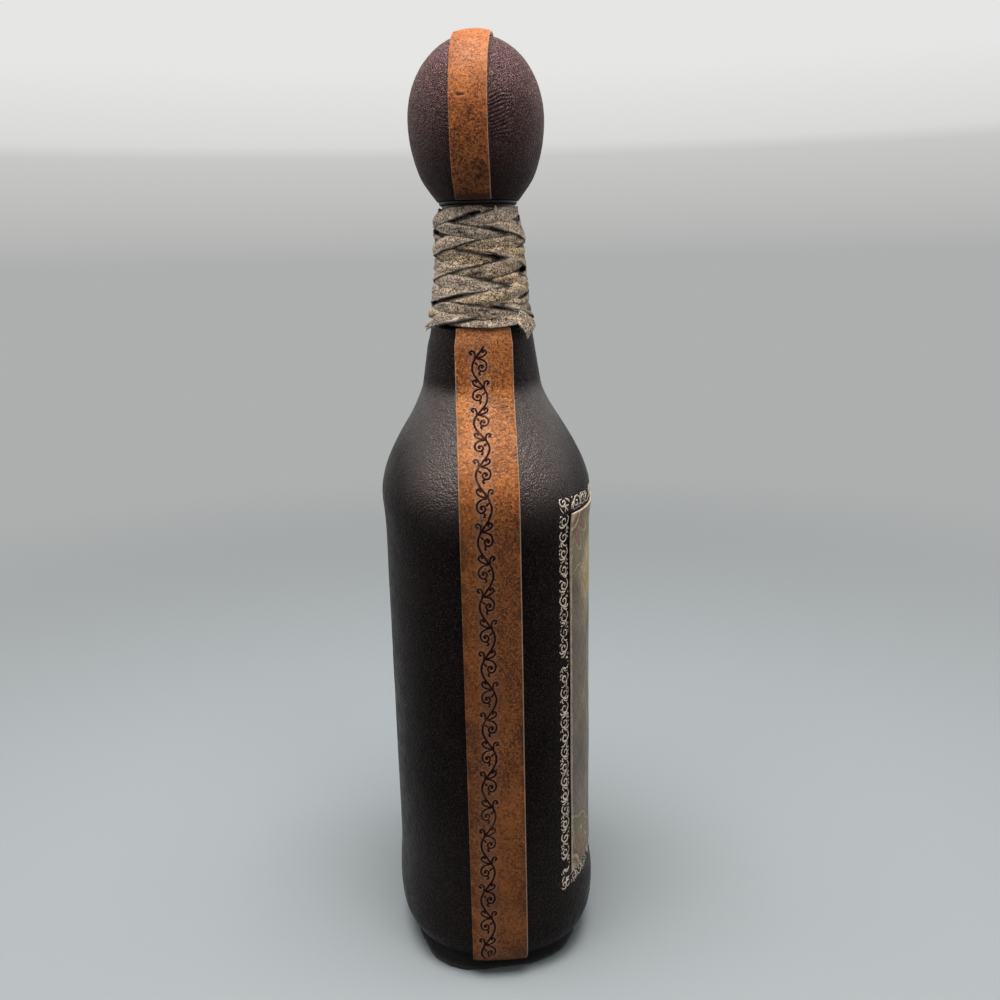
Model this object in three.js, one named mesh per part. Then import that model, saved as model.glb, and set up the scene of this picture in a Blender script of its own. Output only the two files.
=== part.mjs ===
// Leather-wrapped decanter: an oval glass bottle dressed in leather, with a plaited neck
// and a leather-covered stopper. Millimetres, +Z up, origin under the middle of the base,
// the picture faces -Y and the two tan strips face -X and +X.
import * as THREE from 'three';

// Clearance between pieces that touch
const FIT = 0.3;

// Glass bottle
const BOTTLE_WIDTH = 98;
const BOTTLE_DEPTH = 70;
const SECTION_POWER = 2.6; // 2 gives an ellipse, larger is squarer
const BODY_HEIGHT = 166; // from the standing ring up to the shoulder
const SHOULDER_HEIGHT = 40;
const SHOULDER_ROUND = 18; // reach of the bend at the top of the body
const SHOULDER_SWEEP = 12; // reach of the hollow below the neck
const NECK_HEIGHT = 58; // from the foot of the neck to the lip
const NECK_FOOT_RADIUS = 19;
const NECK_RADIUS = 13.2;
const NECK_TAPER = 36; // the foot's slope would meet the neck at this height
const NECK_FADE = 6; // and eases into it over this much more
const HEEL_RADIUS = 9.5;
const STANDING_RING = 5;
const KICK_HEIGHT = 4;
const GLASS_WALL = 3;
const GLASS_BASE = 6;
const LIP_ROUND = 1.2;

// Leather dress
const LEATHER = 1.6;
const HEM_WIDTH = 10; // turned under the base
const STRIP_WIDTH = 20;
const STRIP_LEATHER = 1.3;
const STRIP_LIFT = 2.4; // the strip starts where the heel is this far above the glass's underside
const LEFT_STRIP_SHIFT = 1.4; // the left strip is this far off centre, towards the back, on the body
const PANEL_WIDTH = 85;
const PANEL_BOTTOM = 31; // above the glass's underside
const PANEL_HEIGHT = 134.7;
const PANEL_LEATHER = 0.7;
const FELT_THICKNESS = 2.6;
const FELT_INSET = 4.6; // from the outside of the leather

// Plaited neck
const PLAIT_HEIGHT = 39.6; // from the lip down
const LACE_COUNT = 2;
const BIGHTS = 4; // turning points along each edge of the plait
const LACE_WIDTH = 2.9; // measured upright
const LACE_SPACING = 1.15; // at least this much between neighbours, upright
const LACE_LEATHER = 0.7;
const LACE_CLEARANCE = 0.55; // between two laces where they cross
const LACE_END_ROWS = 0.5; // in rows, short of the turning point where a lace starts and ends

// Stopper
const CORE_RADIUS = 21.8;
const CORE_CROWN = 25.6; // from the widest point to the top
const CORE_DROP = 28; // from the widest point to the flat underside
const CORE_LOWER_AXIS = 33.2; // the lower half is part of an ellipse this long
const GORE_LEATHER = 1.2;
const CROWN_HOLE = 1.5; // the gores stop this far from the middle of the crown
const BAND_WIDTH = 12.8;
const BAND_LEATHER = 1.2;
const STOPPER_TURN = -9; // degrees, the band doesn't quite line up with the strips
const WASHER_RADIUS = 12.7;
const WASHER_THICKNESS = 2;
const TENON_RADIUS = 5;
const TENON_LENGTH = 20; // inside the cork
const CORK_RADIUS = 9.2;
const CORK_TAPER = 0.6;
const CORK_LENGTH = 24;
const CORK_CHAMFER = 0.8;

// Facets
const ROUND_SIDES = 32;
const HEEL_ROWS = 4;
const SIDE_ROWS = 3;
const SHOULDER_ROWS = 9;
const NECK_ROWS = 5;
const FLOOR_ROWS = 3;
const STRIP_COLUMNS = 4;
const PANEL_COLUMNS = 16;
const STOPPER_SIDES = 24;
const CORE_ROWS = 14;
const GORE_ROWS = 12;
const BAND_ROWS = 22;

// Heights that follow from the sizes above
const glassBottom = FELT_THICKNESS + FIT + LEATHER + FIT;
const shoulderZ = glassBottom + BODY_HEIGHT;
const neckFootZ = shoulderZ + SHOULDER_HEIGHT;
const lipZ = neckFootZ + NECK_HEIGHT;
const plaitBottom = lipZ - PLAIT_HEIGHT;
const leatherTop = plaitBottom - FIT;
const washerBottom = lipZ + FIT;
const coreBottom = washerBottom + WASHER_THICKNESS + FIT;
const coreMiddle = coreBottom + CORE_DROP;
const boreRadius = CORK_RADIUS + FIT;
const leatherOut = FIT + LEATHER; // distance from the glass to the outside of the leather

const lerp = THREE.MathUtils.lerp;

// Shape of the glass. A share of 1 is the body's full section and 0 the round neck.
const neckFootShare = (NECK_FOOT_RADIUS - NECK_RADIUS) / (BOTTLE_DEPTH / 2 - NECK_RADIUS);
const shoulderCurve = new THREE.CubicBezierCurve(
  new THREE.Vector2(1, shoulderZ),
  new THREE.Vector2(1, shoulderZ + SHOULDER_ROUND),
  new THREE.Vector2(neckFootShare * (1 + SHOULDER_SWEEP / NECK_TAPER), neckFootZ - SHOULDER_SWEEP),
  new THREE.Vector2(neckFootShare, neckFootZ),
);
const neckCurve = new THREE.QuadraticBezierCurve(
  new THREE.Vector2(neckFootShare, neckFootZ),
  new THREE.Vector2(0, neckFootZ + NECK_TAPER),
  new THREE.Vector2(0, neckFootZ + NECK_TAPER + NECK_FADE),
);
const stretches = ['underside', 'heel', 'side', 'shoulder', 'neck', 'mouth', 'lip'];
const Stage = Object.fromEntries(stretches.map((name, place) => [name, place]));

function section(share, inset, z) {
  return {
    share,
    halfWidth: lerp(NECK_RADIUS, BOTTLE_WIDTH / 2, share) - inset,
    halfDepth: lerp(NECK_RADIUS, BOTTLE_DEPTH / 2, share) - inset,
    power: lerp(2, SECTION_POWER, share),
    z,
  };
}

// Section of the glass at a stage: the whole numbers above are where one stretch ends and
// the next begins, and the fraction is the way along the stretch.
function station(stage) {
  const stretch = Math.min(Math.floor(stage), Stage.mouth);
  const along = stage - stretch;
  if (stretch === Stage.underside) {
    return section(1, HEEL_RADIUS + HEM_WIDTH * (1 - along), glassBottom);
  }
  if (stretch === Stage.heel) {
    const turn = (along * Math.PI) / 2;
    const inset = HEEL_RADIUS * (1 - Math.sin(turn));
    return section(1, inset, glassBottom + HEEL_RADIUS * (1 - Math.cos(turn)));
  }
  if (stretch === Stage.side) {
    return section(1, 0, lerp(glassBottom + HEEL_RADIUS, shoulderZ, along));
  }
  if (stretch === Stage.shoulder || stretch === Stage.neck) {
    const curve = stretch === Stage.shoulder ? shoulderCurve : neckCurve;
    const point = curve.getPoint(along);
    return section(point.x, 0, point.y);
  }
  return section(0, 0, lerp(neckCurve.v2.y, lipZ - LIP_ROUND, along));
}

// Stage at a height above the heel
function stageAt(z) {
  let low = Stage.heel;
  let high = Stage.lip;
  for (let step = 0; step < 50; step++) {
    const middle = (low + high) / 2;
    if (station(middle).z < z) {
      low = middle;
    } else {
      high = middle;
    }
  }
  return (low + high) / 2;
}

function ringRadius({ halfWidth, halfDepth, power }, angle) {
  const across = Math.abs(Math.cos(angle) / halfWidth) ** power;
  const deep = Math.abs(Math.sin(angle) / halfDepth) ** power;
  return (across + deep) ** (-1 / power);
}

function ringPoint(ring, angle) {
  const radius = ringRadius(ring, angle);
  return new THREE.Vector3(radius * Math.cos(angle), radius * Math.sin(angle), ring.z);
}

// Point at a distance out from the glass
function outsidePoint(angle, stage, distance) {
  const small = 1e-3;
  const point = ringPoint(station(stage), angle);
  const ahead = ringPoint(station(stage), angle + small);
  const behind = ringPoint(station(stage), angle - small);
  const above = ringPoint(station(Math.min(stage + small, Stage.lip)), angle);
  const below = ringPoint(station(Math.max(stage - small, Stage.underside)), angle);
  const normal = ahead.sub(behind).cross(above.sub(below)).normalize();
  return point.addScaledVector(normal, distance);
}

// Angle on the glass at a distance y from the middle of the left (-1) or right (1) side
function sideAngle(stage, y, side) {
  const { halfWidth, halfDepth, power } = station(stage);
  const x = halfWidth * (1 - Math.abs(y / halfDepth) ** power) ** (1 / power);
  const angle = Math.atan2(y, x);
  return side > 0 ? angle : Math.PI - angle;
}

// Angle on the front of the glass at a distance x from its middle
function frontAngle(stage, x) {
  const { halfWidth, halfDepth, power } = station(stage);
  const y = halfDepth * (1 - Math.abs(x / halfWidth) ** power) ** (1 / power);
  return Math.atan2(-y, x);
}

function stagesBetween(from, to, count) {
  return Array.from({ length: count + 1 }, (_, i) => lerp(from, to, i / count));
}

// Stages from the bottom of the heel to a stage on the neck
function bottleStages(top) {
  return [
    ...stagesBetween(Stage.heel, Stage.side, HEEL_ROWS),
    ...stagesBetween(Stage.side, Stage.shoulder, SIDE_ROWS).slice(1),
    ...stagesBetween(Stage.shoulder, Stage.neck, SHOULDER_ROWS).slice(1),
    ...stagesBetween(Stage.neck, top, NECK_ROWS).slice(1),
  ];
}

// Geometry builders

function indexedGeometry(points, faces) {
  const geometry = new THREE.BufferGeometry();
  geometry.setFromPoints(points);
  geometry.setIndex(faces);
  geometry.computeVertexNormals();
  return geometry;
}

// Two triangles for four corners, split along the shorter diagonal to stay close to a round surface
function quadFaces(points, a, b, c, d) {
  if (points[a].distanceTo(points[c]) <= points[b].distanceTo(points[d])) {
    return [a, b, c, a, c, d];
  }
  return [a, b, d, b, c, d];
}

// Closed solid through rings of equally many points, closed at both ends at a point
function loftGeometry(rings, startPole, endPole) {
  const sides = rings[0].length;
  const points = [...rings.flat(), startPole, endPole];
  const start = points.length - 2;
  const end = points.length - 1;
  const last = (rings.length - 1) * sides;
  const faces = [];
  for (let j = 0; j < sides; j++) {
    const next = (j + 1) % sides;
    faces.push(start, next, j, end, last + j, last + next);
    for (let row = 0; row < last; row += sides) {
      faces.push(...quadFaces(points, row + j, row + next, row + sides + next, row + sides + j));
    }
  }
  return indexedGeometry(points, faces);
}

// Closed skin over a grid: pointAt(row, column, outer) gives the inner and outer faces
function skinGeometry(rows, columns, pointAt) {
  const across = columns + 1;
  const face = across * (rows + 1);
  const points = [];
  for (const outer of [false, true]) {
    for (let row = 0; row <= rows; row++) {
      for (let column = 0; column <= columns; column++) {
        points.push(pointAt(row, column, outer));
      }
    }
  }
  const faces = [];
  for (let row = 0; row < rows; row++) {
    for (let column = 0; column < columns; column++) {
      const a = row * across + column;
      const b = a + 1;
      const c = b + across;
      const d = a + across;
      faces.push(a, c, b, a, d, c);
      faces.push(face + a, face + b, face + c, face + a, face + c, face + d);
    }
  }
  const rim = [];
  for (let column = 0; column < columns; column++) {
    rim.push(column);
  }
  for (let row = 0; row < rows; row++) {
    rim.push(row * across + columns);
  }
  for (let column = columns; column > 0; column--) {
    rim.push(rows * across + column);
  }
  for (let row = rows; row > 0; row--) {
    rim.push(row * across);
  }
  rim.forEach((p, i) => {
    const q = rim[(i + 1) % rim.length];
    faces.push(face + q, face + p, p, face + q, p, q);
  });
  return indexedGeometry(points, faces);
}

// Leather laid on the bottle between two edges, given as angles at each stage
function dressGeometry(stages, columns, startAngle, endAngle, inner, thickness) {
  return skinGeometry(stages.length - 1, columns, (row, column, outer) => {
    const stage = stages[row];
    const angle = lerp(startAngle(stage), endAngle(stage), column / columns);
    return outsidePoint(angle, stage, outer ? inner + thickness : inner);
  });
}

// Angle whose point at a distance out from the glass lies at a wanted x or y
function outsideAngle(stage, wanted, distance, axis, angleOnGlass) {
  let onGlass = wanted;
  for (let step = 0; step < 12; step++) {
    const reached = outsidePoint(angleOnGlass(stage, onGlass), stage, distance)[axis];
    onGlass *= wanted / reached;
  }
  return angleOnGlass(stage, onGlass);
}

// Glass bottle: up the outside, over the lip, down the bore and the inside to the floor
function glassGeometry() {
  const ringOf = (ring) => {
    const angles = Array.from({ length: ROUND_SIDES }, (_, i) => (i * 2 * Math.PI) / ROUND_SIDES);
    return angles.map((angle) => ringPoint(ring, angle));
  };
  const outerStages = bottleStages(Stage.mouth);
  const outer = [...outerStages, Stage.lip].map(station);
  const standing = section(1, HEEL_RADIUS + STANDING_RING, glassBottom);

  const neckWall = NECK_RADIUS - boreRadius;
  const lip = [
    section(0, LIP_ROUND * (1 - Math.SQRT1_2), lipZ - LIP_ROUND * (1 - Math.SQRT1_2)),
    section(0, LIP_ROUND, lipZ),
    section(0, neckWall - LIP_ROUND / 2, lipZ),
    section(0, neckWall, lipZ - LIP_ROUND / 2),
  ];
  const wallAt = (share) => lerp(neckWall, GLASS_WALL, share);
  const innerStages = outerStages.filter((stage) => stage >= Stage.side).reverse();
  const floorZ = glassBottom + GLASS_BASE;
  const innerHeel = HEEL_RADIUS - GLASS_WALL / 2;
  const inner = innerStages
    .map(station)
    .filter((ring) => ring.z > floorZ + innerHeel)
    .map((ring) => section(ring.share, wallAt(ring.share), ring.z));
  const floorEdge = stagesBetween(0, 1, FLOOR_ROWS).map((along) => {
    const turn = (along * Math.PI) / 2;
    const inset = GLASS_WALL + innerHeel * (1 - Math.cos(turn));
    return section(1, inset, floorZ + innerHeel * (1 - Math.sin(turn)));
  });
  const rings = [standing, ...outer, ...lip, ...inner, ...floorEdge].map(ringOf);
  const kick = new THREE.Vector3(0, 0, glassBottom + KICK_HEIGHT);
  const floor = new THREE.Vector3(0, 0, floorZ + KICK_HEIGHT);
  return loftGeometry(rings, kick, floor);
}

// The two halves of the leather cover meet in seams under the side strips.
const coverStages = [Stage.underside, ...bottleStages(stageAt(leatherTop))];

function coverGeometry(side) {
  const seam = (side * FIT) / 2;
  const right = (stage) => sideAngle(stage, seam, 1);
  const left = (stage) => sideAngle(stage, seam, -1);
  const start = side > 0 ? right : (stage) => left(stage) - 2 * Math.PI;
  const end = side > 0 ? left : right;
  return dressGeometry(coverStages, ROUND_SIDES / 2, start, end, FIT, LEATHER);
}

// Tan strip up one side. Its middle is at a distance shift from the side's middle on the
// body, and comes back to the middle on the neck.
function stripGeometry(side, shift) {
  const lowest = stageAt(glassBottom + STRIP_LIFT);
  const stages = [lowest, ...coverStages.filter((stage) => stage > lowest)];
  const inner = leatherOut + FIT;
  const onSide = (stage, y) => sideAngle(stage, y, side);
  const edgeAt = (edge) => (stage) => {
    const y = shift * station(stage).share + (edge * STRIP_WIDTH) / 2;
    return outsideAngle(stage, y, inner + STRIP_LEATHER, 'y', onSide);
  };
  const start = edgeAt(-side);
  const end = edgeAt(side);
  return dressGeometry(stages, STRIP_COLUMNS, start, end, inner, STRIP_LEATHER);
}

function panelGeometry() {
  const low = stageAt(glassBottom + PANEL_BOTTOM);
  const high = stageAt(glassBottom + PANEL_BOTTOM + PANEL_HEIGHT);
  const between = coverStages.filter((stage) => stage > low && stage < high);
  const stages = [low, ...between, high];
  const inner = leatherOut + FIT;
  const edgeAt = (x) => (stage) => outsideAngle(stage, x, inner + PANEL_LEATHER, 'x', frontAngle);
  const start = edgeAt(-PANEL_WIDTH / 2);
  const end = edgeAt(PANEL_WIDTH / 2);
  return dressGeometry(stages, PANEL_COLUMNS, start, end, inner, PANEL_LEATHER);
}

function feltGeometry() {
  const ring = section(1, FELT_INSET - leatherOut, 0);
  const outline = [];
  for (let i = 0; i < ROUND_SIDES; i++) {
    const point = ringPoint(ring, (i * 2 * Math.PI) / ROUND_SIDES);
    outline.push(new THREE.Vector2(point.x, point.y));
  }
  const shape = new THREE.Shape(outline);
  return new THREE.ExtrudeGeometry(shape, { depth: FELT_THICKNESS, bevelEnabled: false });
}

// Neck plait. Each lace runs round and round the neck, rising and falling between the two
// edges, so the rising and falling stretches cross in rows. Every lace passes over two
// crossings and then under two.
const plaitTravel = PLAIT_HEIGHT - LACE_WIDTH;

function rowsThatClose(rows) {
  const common = (a, b) => (b === 0 ? a : common(b, a % b));
  return common(rows, BIGHTS) === LACE_COUNT ? rows : rowsThatClose(rows - 1);
}

const plaitRows = rowsThatClose(Math.floor((2 * plaitTravel) / (LACE_WIDTH + LACE_SPACING)));
const rowHeight = plaitTravel / plaitRows;
const rowTurn = Math.PI / BIGHTS;
const laceHalf = LACE_WIDTH / (4 * rowHeight); // half a lace's width, as a share of a pitch
const laceSwing = (LACE_LEATHER + LACE_CLEARANCE) / 2;
const laceMiddle = FIT + LACE_LEATHER / 2 + laceSwing;
const EDGES = [1, 0, -1];

function overUnder(row) {
  return row % 4 < 2 ? 1 : -1;
}

// Height of a rising lace above the plait's middle layer, from -1 under to 1 over
function laceLevel(row) {
  const crossing = Math.round(row);
  if (crossing < 1) {
    return (overUnder(1) * row) / (1 - laceHalf);
  }
  if (crossing > plaitRows - 1) {
    return (overUnder(plaitRows - 1) * (plaitRows - row)) / (1 - laceHalf);
  }
  return overUnder(crossing);
}

function laceRing(angleAt, heightAt, level) {
  const layer = (out) => EDGES.map((edge) => {
    const angle = angleAt(edge * laceHalf);
    const z = plaitBottom + LACE_WIDTH / 2 + heightAt(edge * laceHalf);
    const radius = ringRadius(station(stageAt(z)), angle) + laceMiddle + laceSwing * level + out;
    return new THREE.Vector3(radius * Math.cos(angle), radius * Math.sin(angle), z);
  });
  return [...layer(LACE_LEATHER / 2), ...layer(-LACE_LEATHER / 2).reverse()];
}

function laceRings(startAngle) {
  const crossingRows = [];
  for (let crossing = 1; crossing < plaitRows; crossing++) {
    crossingRows.push(crossing - laceHalf, crossing, crossing + laceHalf);
  }
  const endRow = plaitRows - LACE_END_ROWS;
  const passes = (2 * BIGHTS) / LACE_COUNT;
  const rings = [];
  for (let pass = 0; pass < passes; pass++) {
    const way = pass % 2 === 0 ? 1 : -1; // rising or falling
    const passStart = startAngle + pass * plaitRows * rowTurn;
    const startRows = pass === 0 ? [LACE_END_ROWS] : [LACE_END_ROWS / 2, LACE_END_ROWS];
    const turnRows = pass === passes - 1 ? [] : [endRow + LACE_END_ROWS / 2, plaitRows];
    for (const gone of [...startRows, ...crossingRows, endRow, ...turnRows]) {
      const row = way > 0 ? gone : plaitRows - gone;
      // a lace's cross section leans along the laces that it crosses, and is upright where it turns
      const lean = -way * Math.min(1, gone / LACE_END_ROWS, (plaitRows - gone) / LACE_END_ROWS);
      const angleAt = (edge) => passStart + (gone + lean * edge) * rowTurn;
      const heightAt = (edge) => (row + (2 - Math.abs(lean)) * edge) * rowHeight;
      rings.push(laceRing(angleAt, heightAt, way * laceLevel(row)));
    }
  }
  return rings;
}

function ringMiddle(ring) {
  const sum = ring.reduce((total, point) => total.add(point), new THREE.Vector3());
  return sum.divideScalar(ring.length);
}

// Points on a lace's surface: each ring's corners and the middles of its sides, and the
// same halfway to the next ring
function surfacePoints(rings) {
  const doubled = [];
  rings.forEach((ring, i) => {
    const next = rings[Math.min(i + 1, rings.length - 1)];
    for (const share of [0, 0.5]) {
      const corners = ring.map((point, j) => point.clone().lerp(next[j], share));
      const middles = corners.map((point, j) => {
        return point.clone().lerp(corners[(j + 1) % corners.length], 0.5);
      });
      doubled.push([...corners, ...middles]);
    }
  });
  return doubled;
}

// Least distance between two laces, or between the parts of one lace that lie well apart
function leastGap(first, second) {
  const neighbours = 16;
  let least = Infinity;
  first.forEach((ring, i) => {
    second.forEach((other, j) => {
      if (first === second && j - i <= neighbours) {
        return;
      }
      for (const point of ring) {
        for (const target of other) {
          least = Math.min(least, point.distanceToSquared(target));
        }
      }
    });
  });
  return Math.sqrt(least);
}

// Stopper. The ball's surface is two half ellipses of revolution that meet at its widest.
function ballPoint(latitude, y, distance) {
  const axis = latitude < 0 || latitude > Math.PI ? CORE_LOWER_AXIS : CORE_CROWN;
  const share = Math.sqrt(1 - (y / CORE_RADIUS) ** 2);
  const x = CORE_RADIUS * share * Math.cos(latitude);
  const z = axis * share * Math.sin(latitude);
  const normal = new THREE.Vector3(x / CORE_RADIUS ** 2, y / CORE_RADIUS ** 2, z / axis ** 2);
  return new THREE.Vector3(x, y, z).addScaledVector(normal.normalize(), distance);
}

// Latitude where the surface at a distance out from the core meets the flat underside
function lowestLatitude(y, distance) {
  let low = -Math.PI / 2;
  let high = 0;
  for (let step = 0; step < 50; step++) {
    const middle = (low + high) / 2;
    if (ballPoint(middle, y, distance).z < -CORE_DROP) {
      low = middle;
    } else {
      high = middle;
    }
  }
  return high;
}

function coreGeometry() {
  const washerAndGaps = coreBottom - lipZ;
  const tenonBottom = -CORE_DROP - washerAndGaps - TENON_LENGTH;
  const profile = [
    new THREE.Vector2(0, tenonBottom),
    new THREE.Vector2(TENON_RADIUS, tenonBottom),
    new THREE.Vector2(TENON_RADIUS, -CORE_DROP),
  ];
  const lowest = lowestLatitude(0, 0);
  for (let row = 0; row < CORE_ROWS; row++) {
    const point = ballPoint(lerp(lowest, Math.PI / 2, row / CORE_ROWS), 0, 0);
    profile.push(new THREE.Vector2(point.x, point.z));
  }
  profile.push(new THREE.Vector2(0, CORE_CROWN));
  return turnedGeometry(profile);
}

// Solid of revolution about Z, from a profile of radius and height
function turnedGeometry(profile) {
  return new THREE.LatheGeometry(profile, STOPPER_SIDES).rotateX(Math.PI / 2);
}

function goreGeometry(side) {
  const columns = STOPPER_SIDES / 2;
  return skinGeometry(GORE_ROWS, columns, (row, column, outer) => {
    const distance = outer ? FIT + GORE_LEATHER : FIT;
    const lowest = lowestLatitude(0, distance);
    const highest = Math.acos(CROWN_HOLE / CORE_RADIUS);
    const point = ballPoint(lerp(lowest, highest, row / GORE_ROWS), 0, distance);
    const seam = FIT / 2 / point.x;
    const start = side > 0 ? 0 : -Math.PI;
    const angle = start + lerp(seam, Math.PI - seam, column / columns);
    return new THREE.Vector3(point.x * Math.cos(angle), point.x * Math.sin(angle), point.z);
  });
}

function bandGeometry() {
  const inner = FIT + GORE_LEATHER + FIT;
  const widthOnCore = (BAND_WIDTH * CORE_RADIUS) / (CORE_RADIUS + inner + BAND_LEATHER);
  return skinGeometry(BAND_ROWS, STRIP_COLUMNS, (row, column, outer) => {
    const distance = outer ? inner + BAND_LEATHER : inner;
    const y = lerp(-widthOnCore / 2, widthOnCore / 2, column / STRIP_COLUMNS);
    const lowest = lowestLatitude(y, distance);
    return ballPoint(lerp(lowest, Math.PI - lowest, row / BAND_ROWS), y, distance);
  });
}

function washerGeometry() {
  const bottom = -CORE_DROP - FIT - WASHER_THICKNESS;
  const hole = TENON_RADIUS + FIT;
  const bulge = WASHER_THICKNESS / 4;
  const profile = [
    new THREE.Vector2(hole, bottom),
    new THREE.Vector2(WASHER_RADIUS - bulge, bottom),
    new THREE.Vector2(WASHER_RADIUS, bottom + bulge),
    new THREE.Vector2(WASHER_RADIUS, bottom + WASHER_THICKNESS - bulge),
    new THREE.Vector2(WASHER_RADIUS - bulge, bottom + WASHER_THICKNESS),
    new THREE.Vector2(hole, bottom + WASHER_THICKNESS),
    new THREE.Vector2(hole, bottom),
  ];
  return turnedGeometry(profile);
}

function corkGeometry() {
  const top = lipZ - coreMiddle;
  const bottom = top - CORK_LENGTH;
  const floor = top - TENON_LENGTH - FIT;
  const foot = CORK_RADIUS - CORK_TAPER;
  const hole = TENON_RADIUS + FIT;
  const profile = [
    new THREE.Vector2(0, bottom),
    new THREE.Vector2(foot - CORK_CHAMFER, bottom),
    new THREE.Vector2(foot, bottom + CORK_CHAMFER),
    new THREE.Vector2(CORK_RADIUS, top),
    new THREE.Vector2(hole, top),
    new THREE.Vector2(hole, floor),
    new THREE.Vector2(0, floor),
  ];
  return turnedGeometry(profile);
}

// Colours of the pieces
const finish = (color, roughness) => new THREE.MeshStandardMaterial({ color, roughness, metalness: 0 });
const glass = () => finish(0x3d4a3a, 0.1);
const darkLeather = () => finish(0x2a2422, 0.55);
const tanLeather = () => finish(0x9a5a26, 0.6);
const print = () => finish(0x9a8358, 0.35);
const suede = () => finish(0x8a7f6e, 0.95);
const felt = () => finish(0x161515, 1);
const ballLeather = () => finish(0x382a28, 0.6);
const blackLeather = () => finish(0x17120f, 0.35);
const wood = () => finish(0xa87c4f, 0.7);
const cork = () => finish(0xb88a5c, 0.9);

function addPiece(parent, name, geometry, material) {
  const mesh = new THREE.Mesh(geometry, material);
  mesh.name = name;
  parent.add(mesh);
}

const decanter = new THREE.Group();
addPiece(decanter, 'glass_bottle', glassGeometry(), glass());
addPiece(decanter, 'front_leather', coverGeometry(-1), darkLeather());
addPiece(decanter, 'rear_leather', coverGeometry(1), darkLeather());
addPiece(decanter, 'left_side_strip', stripGeometry(-1, LEFT_STRIP_SHIFT), tanLeather());
addPiece(decanter, 'right_side_strip', stripGeometry(1, 0), tanLeather());
addPiece(decanter, 'picture_panel', panelGeometry(), print());
addPiece(decanter, 'base_felt', feltGeometry(), felt());

const laces = [];
for (let lace = 0; lace < LACE_COUNT; lace++) {
  const rings = laceRings(lace * 2 * rowTurn);
  const name = `neck_lace_${lace + 1}`;
  const ends = [rings[0], rings[rings.length - 1]].map(ringMiddle);
  addPiece(decanter, name, loftGeometry(rings, ...ends), suede());
  const surface = surfacePoints(rings);
  console.log(`${name}: least gap to itself ${leastGap(surface, surface).toFixed(2)} mm`);
  laces.push(surface);
}
console.log(`least gap between the laces: ${leastGap(laces[0], laces[1]).toFixed(2)} mm`);

const stopper = new THREE.Group();
stopper.position.z = coreMiddle;
stopper.rotation.z = THREE.MathUtils.degToRad(STOPPER_TURN);
decanter.add(stopper);
addPiece(stopper, 'stopper_core', coreGeometry(), wood());
addPiece(stopper, 'stopper_front_leather', goreGeometry(-1), ballLeather());
addPiece(stopper, 'stopper_rear_leather', goreGeometry(1), ballLeather());
addPiece(stopper, 'stopper_band', bandGeometry(), tanLeather());
addPiece(stopper, 'stopper_washer', washerGeometry(), blackLeather());
addPiece(stopper, 'stopper_cork', corkGeometry(), cork());

export default decanter;
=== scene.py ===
import math

import bpy
import numpy as np
from mathutils import Matrix, Vector


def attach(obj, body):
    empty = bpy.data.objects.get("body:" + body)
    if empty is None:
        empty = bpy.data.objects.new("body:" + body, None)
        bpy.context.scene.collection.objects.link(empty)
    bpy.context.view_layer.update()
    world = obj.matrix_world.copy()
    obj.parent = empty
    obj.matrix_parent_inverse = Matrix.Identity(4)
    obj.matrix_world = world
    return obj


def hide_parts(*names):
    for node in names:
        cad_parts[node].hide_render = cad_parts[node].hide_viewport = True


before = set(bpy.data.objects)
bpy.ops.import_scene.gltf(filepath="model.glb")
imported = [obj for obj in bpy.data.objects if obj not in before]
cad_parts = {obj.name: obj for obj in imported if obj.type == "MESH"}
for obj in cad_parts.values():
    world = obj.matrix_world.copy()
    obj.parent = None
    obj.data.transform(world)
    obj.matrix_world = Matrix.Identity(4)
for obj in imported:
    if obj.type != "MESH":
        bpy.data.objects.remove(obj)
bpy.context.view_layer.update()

MM = 0.001
PI = math.pi

# Sizes of the part in millimetres, the same as in its source
BOTTLE_WIDTH = 98
BOTTLE_DEPTH = 70
SECTION_POWER = 2.6
NECK_RADIUS = 13.2
NECK_FOOT_RADIUS = 19
HEEL_RADIUS = 9.5
HEM_WIDTH = 10
STANDING_RING = 5
KICK_HEIGHT = 4
GLASS_WALL = 3
GLASS_BASE = 6
BORE_RADIUS = 9.5
LIP_ROUND = 1.2
GLASS_BOTTOM = 4.8
SHOULDER_Z = 170.8
NECK_FOOT_Z = 210.8
NECK_TAPER = 36
NECK_FADE = 6
SHOULDER_ROUND = 18
SHOULDER_SWEEP = 12
LIP_Z = 268.8
LEATHER_TOP = 228.9
LEATHER_IN = 0.3
LEATHER_OUT = 1.9
STRIP_IN = 2.2
STRIP_OUT = 3.5
STRIP_WIDTH = 20
STRIP_BOTTOM = 7.2
LEFT_STRIP_SHIFT = 1.4
PANEL_OUT = 2.9
PANEL_WIDTH = 85
PANEL_BOTTOM = 35.8
PANEL_TOP = 170.5
FELT_THICKNESS = 2.6
FELT_INSET = 4.6
PLAIT_BOTTOM = 229.2
PLAIT_ROWS = 18
LACE_WIDTH = 2.9
LACE_LEATHER = 0.7
LACE_MIDDLE = 1.275
LACE_SWING = 0.625
ROW_HEIGHT = 36.7 / PLAIT_ROWS
ROW_TURN = PI / 4
BALL_Z = 299.4
BALL_RADIUS = 21.8
BALL_CROWN = 25.6
BALL_LOWER = 33.2
GORE_IN = 0.3
GORE_OUT = 1.5
BAND_IN = 1.8
BAND_OUT = 3.0
BAND_WIDTH = 12.8
CROWN_HOLE = 1.5
TENON_RADIUS = 5
TENON_LENGTH = 20
FIT = 0.3
CORK_RADIUS = 9.2
CORK_FOOT_RADIUS = 8.6
CORK_LENGTH = 24
CORK_CHAMFER = 0.8
WASHER_DROP = 30.3
# the ball's leather is turned in a little short of the core's foot
COVER_DROP = 26.6
STOPPER_TURN = math.radians(-9)
# points round whatever is turned
ROUND_SIDES = 96


# Numbers

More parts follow.
